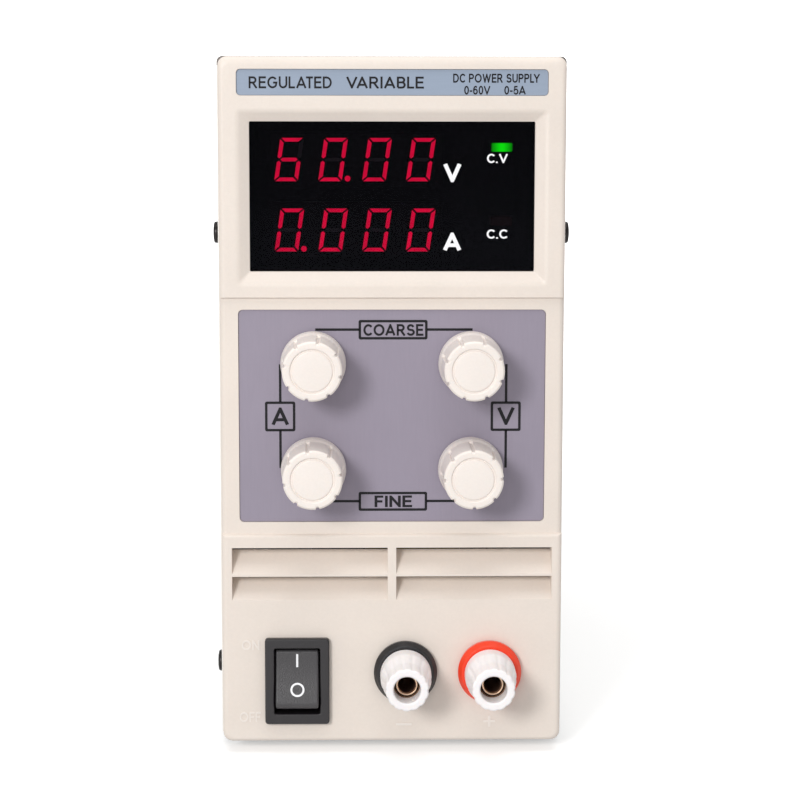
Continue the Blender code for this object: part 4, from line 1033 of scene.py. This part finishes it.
def binding_post(name, collar_material):
    cap_node, collar_node, stud_node = (f"{name}_post_{part}" for part in ("cap", "collar", "stud"))
    low, high = box(cap_node)
    tip, base = low.y, high.y
    low, high = box(collar_node)
    radius = (high.x - low.x) / 2
    corners = [
        (3.2, high.y, 0), (radius - 0.1, high.y, 0.08), (radius, -1.7, 0.15),
        (radius - 0.75, low.y + 0.15, 0.12), (radius - 0.95, low.y, 0.1), (3.2, low.y, 0.2)
    ]
    collar = at_node(lathe(corners, 96, closed=True), cap_node)
    piece(f"{name}_collar", collar, collar_material, "case", collar_node)

    corners = [
        (3.12, tip + 0.35, 0.2), (3.4, tip, 0.2), (4.7, tip, 0.25), (4.98, tip + 0.35, 0.25),
        (5.14, -12.5, 4), (5.98, -7.6, 4), (6.02, base - 0.3, 0.2), (5.8, base, 0.15), (4.2, base, 0),
        (4.2, -12.6, 0), (3.12, -12.6, 0)
    ]

    def fluted(angle, r, y):
        if r < 4.3:
            return r
        fade = min(max((-4.6 - y) / 6, 0), 1)
        wave = (0.5 + 0.5 * math.cos(FLUTES * angle + 0.4)) ** 3
        return r - FLUTE_DEPTH * fade * wave

    cap = at_node(lathe(corners, 216, closed=True, steps=6, shape=fluted), cap_node)
    piece(f"{name}_cap", cap, WHITE, f"{name}_cap", cap_node, sharp=40)

    low, high = box(stud_node)
    bore, rim = 2.0, 2.6
    corners = [
        (0, low.y + 20, 0), (bore, low.y + 19.5, 0.3), (bore, low.y + 0.25, 0.1),
        (bore + 0.2, low.y, 0.05), (rim - 0.15, low.y, 0.1), (rim, low.y + 0.3, 0.1),
        (rim, high.y - 0.4, 0.1), (rim - 0.4, high.y, 0.1), (0, high.y, 0)
    ]
    wire_hole = upright(prism(circle(1.0, 24), -4, 4), (0, -4.6, 0))
    stud = at_node(cut(lathe(corners, 64, steps=3), wire_hole), cap_node)
    piece(f"{name}_socket", stud, BRASS, "case", stud_node)
    # A thin dark liner over the bore's wall paints the shade inside the socket.
    near, far = low.y + 0.9, low.y + 19
    thin, thick = bore - 0.02, bore + 0.3
    bore_shade_liner = turned([(thin, near), (thin, far), (thick, far), (thick, near)], 48, closed=True)
    piece(f"{name}_bore", at_node(bore_shade_liner, cap_node), BORE_SHADE, "case")


# Case


def side_holes(radius, inner, outer):
    holes = []
    for node in SCREWS:
        c = middle(node)
        hole = prism(circle(radius, 24), inner, outer)
        holes.append(moved(aimed(hole, (1, 0, 0) if c.x > 0 else (-1, 0, 0)), (0, c.y, c.z)))
    return joined(*holes)


SCREWS = [
    f"cover_screw_{end}_{side}_{level}" for end in ("front", "rear") for side in ("left", "right")
    for level in ("upper", "lower")
]


def top_cover():
    low, high = box("top_cover")
    half, top = high.x, high.z
    sheet = 0.8

    def bent(inset):
        edge, crown, bend = half - inset, top - inset, 1.4 - inset
        return [(edge, low.z, 0), (edge, crown, bend), (-edge, crown, bend), (-edge, low.z, 0)]

    outer = soften(bent(0), 0, steps=8)
    inner = soften(bent(sheet)[::-1], 0, steps=8)
    slots = []
    for row in (30.0, 62.0):
        for k in range(9):
            y = 96.0 + 8 * k
            stadium = soften([(y, row), (y + 2.5, row), (y + 2.5, row + 24), (y, row + 24)], 1.24, steps=6)
            slots.append(loft([[(x, a, b) for a, b in stadium] for x in (-half - 1, half + 1)]))
    cover = cut(prism(outer + inner, low.y, high.y), joined(*slots))
    cover = cut(cover, side_holes(1.8, half - 4, half + 1))
    piece("cover_sheet", cover, COVER, "case", "top_cover", sharp=30)
    # A dark strip on the front edge, kept to the top and corners: the sheet's bare cut edge together with
    # painted shade in the gap behind the panel.
    edge = [(x, max(z, top - 2.2)) for x, z in outer + inner]
    piece("cover_edge_and_shade", prism(edge, low.y - 0.06, low.y + 0.1), CUT_EDGE_AND_SHADE, "case")


def cover_screws():
    """Domed cross-recess screws in the cover's sides."""
    for node in SCREWS:
        low, high = box(node)
        c = middle(node)
        length = high.x - low.x
        neck = length - 1.0
        corners = [
            (0, 0, 0), (1.1, 0, 0.1), (1.5, 0.5, 0.1), (1.5, neck, 0.05), (2.6, neck, 0.1),
            (2.55, length - 0.2, 0.5), (1.3, length, 1.5), (0, length, 0)
        ]
        wide = at(rect(0.32, -1.35, 1.35, 0.1), length + 1)
        narrow = at(rect(0.18, -0.5, 0.5, 0.1), length - 1.1)
        screw = crossed(lathe(corners, 48), wide, narrow)
        side, start = (1, low.x) if c.x > 0 else (-1, high.x)
        screw = moved(aimed(screw, (side, 0, 0)), (start, c.y, c.z))
        piece(f"{node}_head", screw, BLACKENED, "case", node)


def feet():
    for node in ("foot_front_left", "foot_front_right", "foot_rear_left", "foot_rear_right"):
        low, high = box(node)
        c = middle(node)
        radius = (high.x - low.x) / 2
        height = high.z - low.z
        corners = [
            (0, 1.5, 0), (2.0, 1.5, 0.1), (2.2, 0, 0.25), (radius - 1.0, 0, 0.4),
            (radius - 0.35, 0.5, 0.4), (radius, height, 0.1), (0, height, 0)
        ]
        foot = upright(lathe(corners, 64), (c.x, c.y, low.z))
        piece(f"{node}_pad", foot, RUBBER, "case", node)


# Rear

FAN_CORNERS = [(x, z) for x in (-25, 25) for z in (-25, 25)]


def fan():
    low, high = box("fan_frame")
    half = high.x
    near, far = low.y, high.y
    body = slab(lambda i: rect(half - i, -half + i, half - i, 3.2 - i), near, far, 0.5, 0.5)
    side = rect(17, half - 3.4, half + 2, 1.0)
    body = cut(body, joined(*[spun(prism(side, near + 4, far - 4), k * math.pi / 2) for k in range(4)]))
    stations = ((near - 1, 28.5), (far - 2.5, 28.5), (far - 1.4, 28.6), (far - 0.5, 29.0), (far + 1, 29.6))
    body = cut(body, loft([at(circle(r, 96), y) for y, r in stations]))
    holes = [prism(circle(2.2, 24, x, z), near - 1, far + 1) for x, z in FAN_CORNERS]
    body = cut(body, joined(*holes))
    struts = [
        spun(block((8, near, -1.4), (29.3, near + 3, 1.4), 0.3), TURN * k / 3 + 0.5) for k in range(3)
    ]
    corners = [(1.8, near), (13, near, 0.5), (13, near + 3, 0.3), (1.8, near + 3, 0.1)]
    body = united(body, lathe(corners, 64, closed=True), *struts)
    body = at_node(body, "fan_frame")
    piece("fan_housing", body, FAN, "case", "fan_frame", sharp=30)

    low, high = box("fan_impeller")
    pin_near = low.y
    near, far = pin_near + 3.3, high.y
    corners = [
        (0, pin_near, 0), (1.4, pin_near, 0.2), (1.4, near, 0), (13, near, 0.4), (13, far, 1.4),
        (0, far, 0)
    ]
    rotor = united(lathe(corners, 96), *[fan_blade(near, far, TURN * k / 7) for k in range(7)])
    rotor = at_node(rotor, "fan_frame")
    piece("fan_rotor", rotor, FAN, "fan_impeller", "fan_impeller", sharp=40)

    low, high = box("fan_guard")
    wire = (high.y - low.y) / 2
    y = (low.y + high.y) / 2
    parts = [wire_ring(r, y, wire, 96) for r in (4.5, 9.1, 13.7, 18.3, 22.9, 27.5)]
    reach = 25 * math.sqrt(2) - 3
    for k in range(2):
        angle = math.pi / 4 + k * math.pi / 2
        spoke = [(s * reach * math.cos(angle), y, s * reach * math.sin(angle)) for s in (-1, -0.3, 0.3, 1)]
        parts.append(tube(spoke, wire * 0.96, 12))
    parts += [moved(wire_ring(3.0, y, wire * 0.98, 40), (x, 0, z)) for x, z in FAN_CORNERS]
    guard = at_node(united(*parts), "fan_frame")
    piece("finger_guard", guard, CHROME, "case", "fan_guard", sharp=50)
    corners = [(0, 0, 0), (2.9, 0, 0.1), (2.9, 0.35, 0.3), (1.6, 1.4, 1.0), (0, 1.5, 0)]
    arm = rect(0.35, -1.5, 1.5, 0.1)
    for i, (x, z) in enumerate(FAN_CORNERS):
        head = crossed(lathe(corners, 40), at(arm, 0.7), at(arm, 3))
        place = (x, high.y, middle("fan_frame").z + z)
        piece(f"fan_screw_{i}", moved(head, place), STEEL, "case")


def fan_blade(near, far, angle):
    """A curved, pitched blade from inside the hub to its tip."""
    loops = []
    for k in range(9):
        t = k / 8
        r = 11.5 + (27.3 - 11.5) * t
        sweep = math.radians(30 - 9 * t)
        lag = math.radians(14 * t)
        front = []
        back = []
        for j in range(7):
            s = j / 6
            a = lag - sweep / 2 + sweep * s
            y = near + 0.6 + (far - near - 2.2) * (s + 0.18 * math.sin(math.pi * s))
            thick = 0.5 + 0.55 * math.sin(math.pi * (0.15 + 0.7 * s))
            front.append((r * math.cos(a), y, r * math.sin(a)))
            back.append((r * math.cos(a), y + thick, r * math.sin(a)))
        loops.append(front + back[::-1])
    return spun(loft(loops), angle)


def mains_inlet():
    low, high = box("mains_inlet")
    flange_near = 209.5
    flange = round_slab((high.x, low.z, high.z, 0), flange_near, high.y, 2.5, 0.05, 0.7)
    shell = united(flange, prism(rect(13.4, 10.0, 44.0, 1.0), low.y, flange_near + 0.5))
    z = 30.5
    half, reach, chamfer = 12.2, 8.2, 4.0
    points = [
        (-half, z - reach, 1.5), (half, z - reach, 1.5), (half, z + reach - chamfer, 0.8),
        (half - chamfer, z + reach, 0.8), (chamfer - half, z + reach, 0.8),
        (-half, z + reach - chamfer, 0.8)
    ]
    recess = soften(points, 0)
    floor = high.y - 17
    outside = high.y + 1
    shell = cut(shell, prism(recess, floor, outside))
    groove_out = [(x * 1.07, z + (b - z) * 1.1) for x, b in recess]
    groove_in = [(x * 1.035, z + (b - z) * 1.05) for x, b in recess]
    groove = frame_loft(groove_out, groove_in, high.y - 0.8, outside)
    drawer_low, drawer_high = box("fuse_drawer")
    hole = clearance("fuse_drawer", 0.3, drawer_low.y - 0.3, outside, 0.4)
    shell = cut(shell, groove, hole)
    piece("inlet_shell", shell, INLET, "case", "mains_inlet", sharp=30)
    pins = [
        moved(round_slab((1.0, -2.0, 2.0, 0), floor - 0.5, floor + 14, 0.35, 0.1, 0.8), (x, 0, rise))
        for x, rise in ((0, z + 4), (-7, z), (7, z))
    ]
    piece("inlet_pins", joined(*pins), TINNED, "case")

    width = drawer_high.x
    drawer = round_slab((width, drawer_low.z, drawer_high.z, 0), drawer_low.y, high.y, 0.35, 0.2, 0.3)
    lip = block((-width, high.y - 1, drawer_high.z - 2), (width, drawer_high.y, drawer_high.z), 0.3)
    grip = [
        block((x - 0.4, high.y - 0.4, 12.6), (x + 0.4, high.y + 0.35, 14.9), 0.15) for x in range(-4, 5, 2)
    ]
    drawer = united(united(drawer, lip), joined(*grip))
    piece("fuse_holder", drawer, INLET, "fuse_drawer", "fuse_drawer", sharp=30)


def voltage_selector():
    low, high = box("voltage_selector_body")
    c = middle("voltage_selector_body")
    body = prism(rect(10.5, c.z - 6, c.z + 6, 0.4), low.y, 207.9)
    neck = round_slab((7.7, c.z - 4, c.z + 4, 0), 207, high.y, 0.8, 0, 0.25)
    recess = prism(rect(6.6, c.z - 2.9, c.z + 2.9, 0.4), high.y - 3, high.y + 1)
    shell = cut(united(body, neck), recess)
    piece("selector_housing", shell, INLET, "case", "voltage_selector_body", sharp=30)
    number = lettering("230", (-1.8, 1.8, -0.8, 0.8), 0, PRINT)
    bmesh.ops.rotate(number, verts=number.verts, cent=Vector(), matrix=Matrix.Rotation(math.pi, 3, "Z"))
    low, high = box("voltage_selector_slider")
    x = middle("voltage_selector_slider").x
    groove = prism(rect(0.5, low.z - 1, high.z + 1, 0.0, x), high.y - 1, high.y + 1)
    slider = cut(block(low, high, 0.25), groove)
    piece("selector_slider", slider, SLIDER, "selector_slider", "voltage_selector_slider")
    piece("selector_number", moved(number, (-3.3, high.y - 2.6, c.z)), WHITE_INK, "case")


# Inside


def inside():
    low, high = box("transformer")
    c = middle("transformer")
    bars = (
        (low.x, high.x, low.z, low.z + 7), (low.x, high.x, high.z - 7, high.z),
        (low.x, low.x + 7, low.z + 1, high.z - 1), (high.x - 7, high.x, low.z + 1, high.z - 1)
    )
    core = united(*[block((x0, c.y - 7, z0), (x1, c.y + 7, z1), 0.5) for x0, x1, z0, z1 in bars])
    piece("transformer_core", core, FERRITE, "case", "transformer")
    reach = (high.z - low.z) / 2 - 7.2
    coil = lathe([(0, -reach, 0), (13.6, -reach, 0.8), (13.6, reach, 0.8), (0, reach, 0)], 64)
    piece("transformer_coil", upright(coil, c), TAPE, "case")

    for node in ("bulk_capacitor_left", "bulk_capacitor_right"):
        low, high = box(node)
        c = middle(node)
        height = high.z - low.z
        corners = [
            (0, 0, 0), (10.6, 0, 0.5), (11, 1.2, 0.4), (10.4, 2.6, 0.5), (11, 4.0, 0.4), (11, height, 0.9),
            (9.2, height, 0.2), (9.0, height - 0.5, 0.2), (0, height - 0.5, 0)
        ]
        score = rect(0.25, -6, 6)
        can = crossed(lathe(corners, 72), at(score, height - 0.8), at(score, height + 1))
        can = upright(can, (c.x, c.y, low.z))
        piece(f"{node}_can", can, SLEEVE, "case", node)

    c = middle("output_inductor")
    ring = turned(soften([(7.4, -4.2), (13.6, -4.2), (13.6, 4.2), (7.4, 4.2)], 1.0), 64, closed=True)
    piece("inductor_core", upright(ring, c), FERRITE, "case", "output_inductor")
    steps = 26 * 12
    path = []
    for k in range(steps + 1):
        around = 0.4 + (TURN - 0.8) * k / steps
        angle = TURN * k / 12
        r = 10.5 + 4.0 * math.copysign(abs(math.cos(angle)) ** 0.6, math.cos(angle))
        z = 4.9 * math.copysign(abs(math.sin(angle)) ** 0.6, math.sin(angle))
        path.append((c.x + r * math.cos(around), c.y + r * math.sin(around), c.z + z))
    piece("inductor_winding", tube(path, 0.45, 8), COPPER, "case")


def carried_over():
    """CAD nodes whose own shape is shown, each with its material."""
    finishes = {
        "bottom_chassis": ZINC, "display_board": BLACK_BOARD, "main_board": BOARD, "heatsink": ALLOY
    }
    for knob_name in KNOBS:
        stem = knob_name.rsplit("_", 1)[0]
        finishes[f"{stem}_shaft"] = STEEL
        finishes[f"{stem}_pot"] = TINNED
    for post in ("negative", "positive"):
        # The inserts get the darkened brass as painted shade for their place deep in the caps.
        finishes[f"{post}_post_insert"] = SHADED_BRASS
        finishes[f"{post}_post_nut"] = BRASS
    for node, material in finishes.items():
        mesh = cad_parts[node].data
        mesh.materials.clear()
        mesh.materials.append(material)


front_shell()
front_marks()
name_plate()
control_overlay()
display_area()
for node_name, phase_degrees in zip(KNOBS, NOTCH_PHASES):
    knob(node_name, phase_degrees)
rocker_switch()
binding_post("negative", BLACK)
binding_post("positive", RED)
top_cover()
cover_screws()
feet()
fan()
mains_inlet()
voltage_selector()
inside()
carried_over()


# Stage, light and camera


def stage():
    """A pale floor that curves up into a backdrop."""
    profile = [(-2.5, 0), *[(1.2 + 0.8 * (1 - s), 0.8 * c) for s, c in quarter(12)], (2.0, 3.0)]
    bm = bmesh.new()
    rows = [[bm.verts.new((x, y, z)) for y, z in profile] for x in (-3.0, 3.0)]
    for k in range(len(profile) - 1):
        bm.faces.new((rows[0][k], rows[1][k], rows[1][k + 1], rows[0][k + 1]))
    mesh = mesh_from(bm, "floor")
    mesh.shade_smooth()
    paint = Paint("paper", (250, 250, 250), 0.9, specular=0.1)
    paint.tinted(paint.noise(60, 2), 0.01)
    paint.bumped(paint.noise(1.5, 2), 0.02)
    paint.set("Emission Color", (1, 1, 1, 1))
    paint.set("Emission Strength", 0.3)
    mesh.materials.append(paint.material)
    floor = placed("floor", mesh)
    floor.visible_diffuse = False


def area_light(name, place, target, size, power):
    data = bpy.data.lights.new(name, "AREA")
    data.shape = "RECTANGLE"
    data.size, data.size_y = size
    data.energy = power
    light = placed(name, data)
    light.location = place
    light.rotation_euler = (Vector(target) - Vector(place)).to_track_quat("-Z", "Y").to_euler()


def camera():
    yaw, pitch, roll = math.radians(1.295), math.radians(7.76), math.radians(0.09)
    ahead = Vector((math.sin(yaw) * math.cos(pitch), math.cos(yaw) * math.cos(pitch), -math.sin(pitch)))
    right = Vector((math.cos(yaw), -math.sin(yaw), 0))
    up = right.cross(ahead)
    turned_right = right * math.cos(roll) + up * math.sin(roll)
    turned_up = up * math.cos(roll) - right * math.sin(roll)
    data = bpy.data.cameras.new("camera")
    data.lens = 99.8
    data.sensor_width = 36
    view = placed("camera", data)
    basis = Matrix((turned_right, turned_up, -ahead)).transposed()
    view.matrix_world = Matrix.Translation(Vector((-9.76, -512.5, 151.9)) * MM + DATUM) @ basis.to_4x4()
    bpy.context.scene.camera = view


stage()
camera()
aim = (0, -0.1, 0.08)
area_light("key", (-0.42, -1.12, 0.42), aim, (0.26, 0.26), 6.7)
area_light("top", (0, -0.35, 1.2), aim, (0.9, 0.9), 5)
area_light("backdrop", (0, 0.9, 1.3), (0, 2.0, 0.5), (1.6, 0.5), 34)
world = bpy.data.worlds.new("world")
world.use_nodes = True
background = world.node_tree.nodes["Background"]
background.inputs["Color"].default_value = (1, 1, 1, 1)
background.inputs["Strength"].default_value = 0.56
bpy.context.scene.world = world
bpy.context.scene.view_settings.view_transform = "Standard"
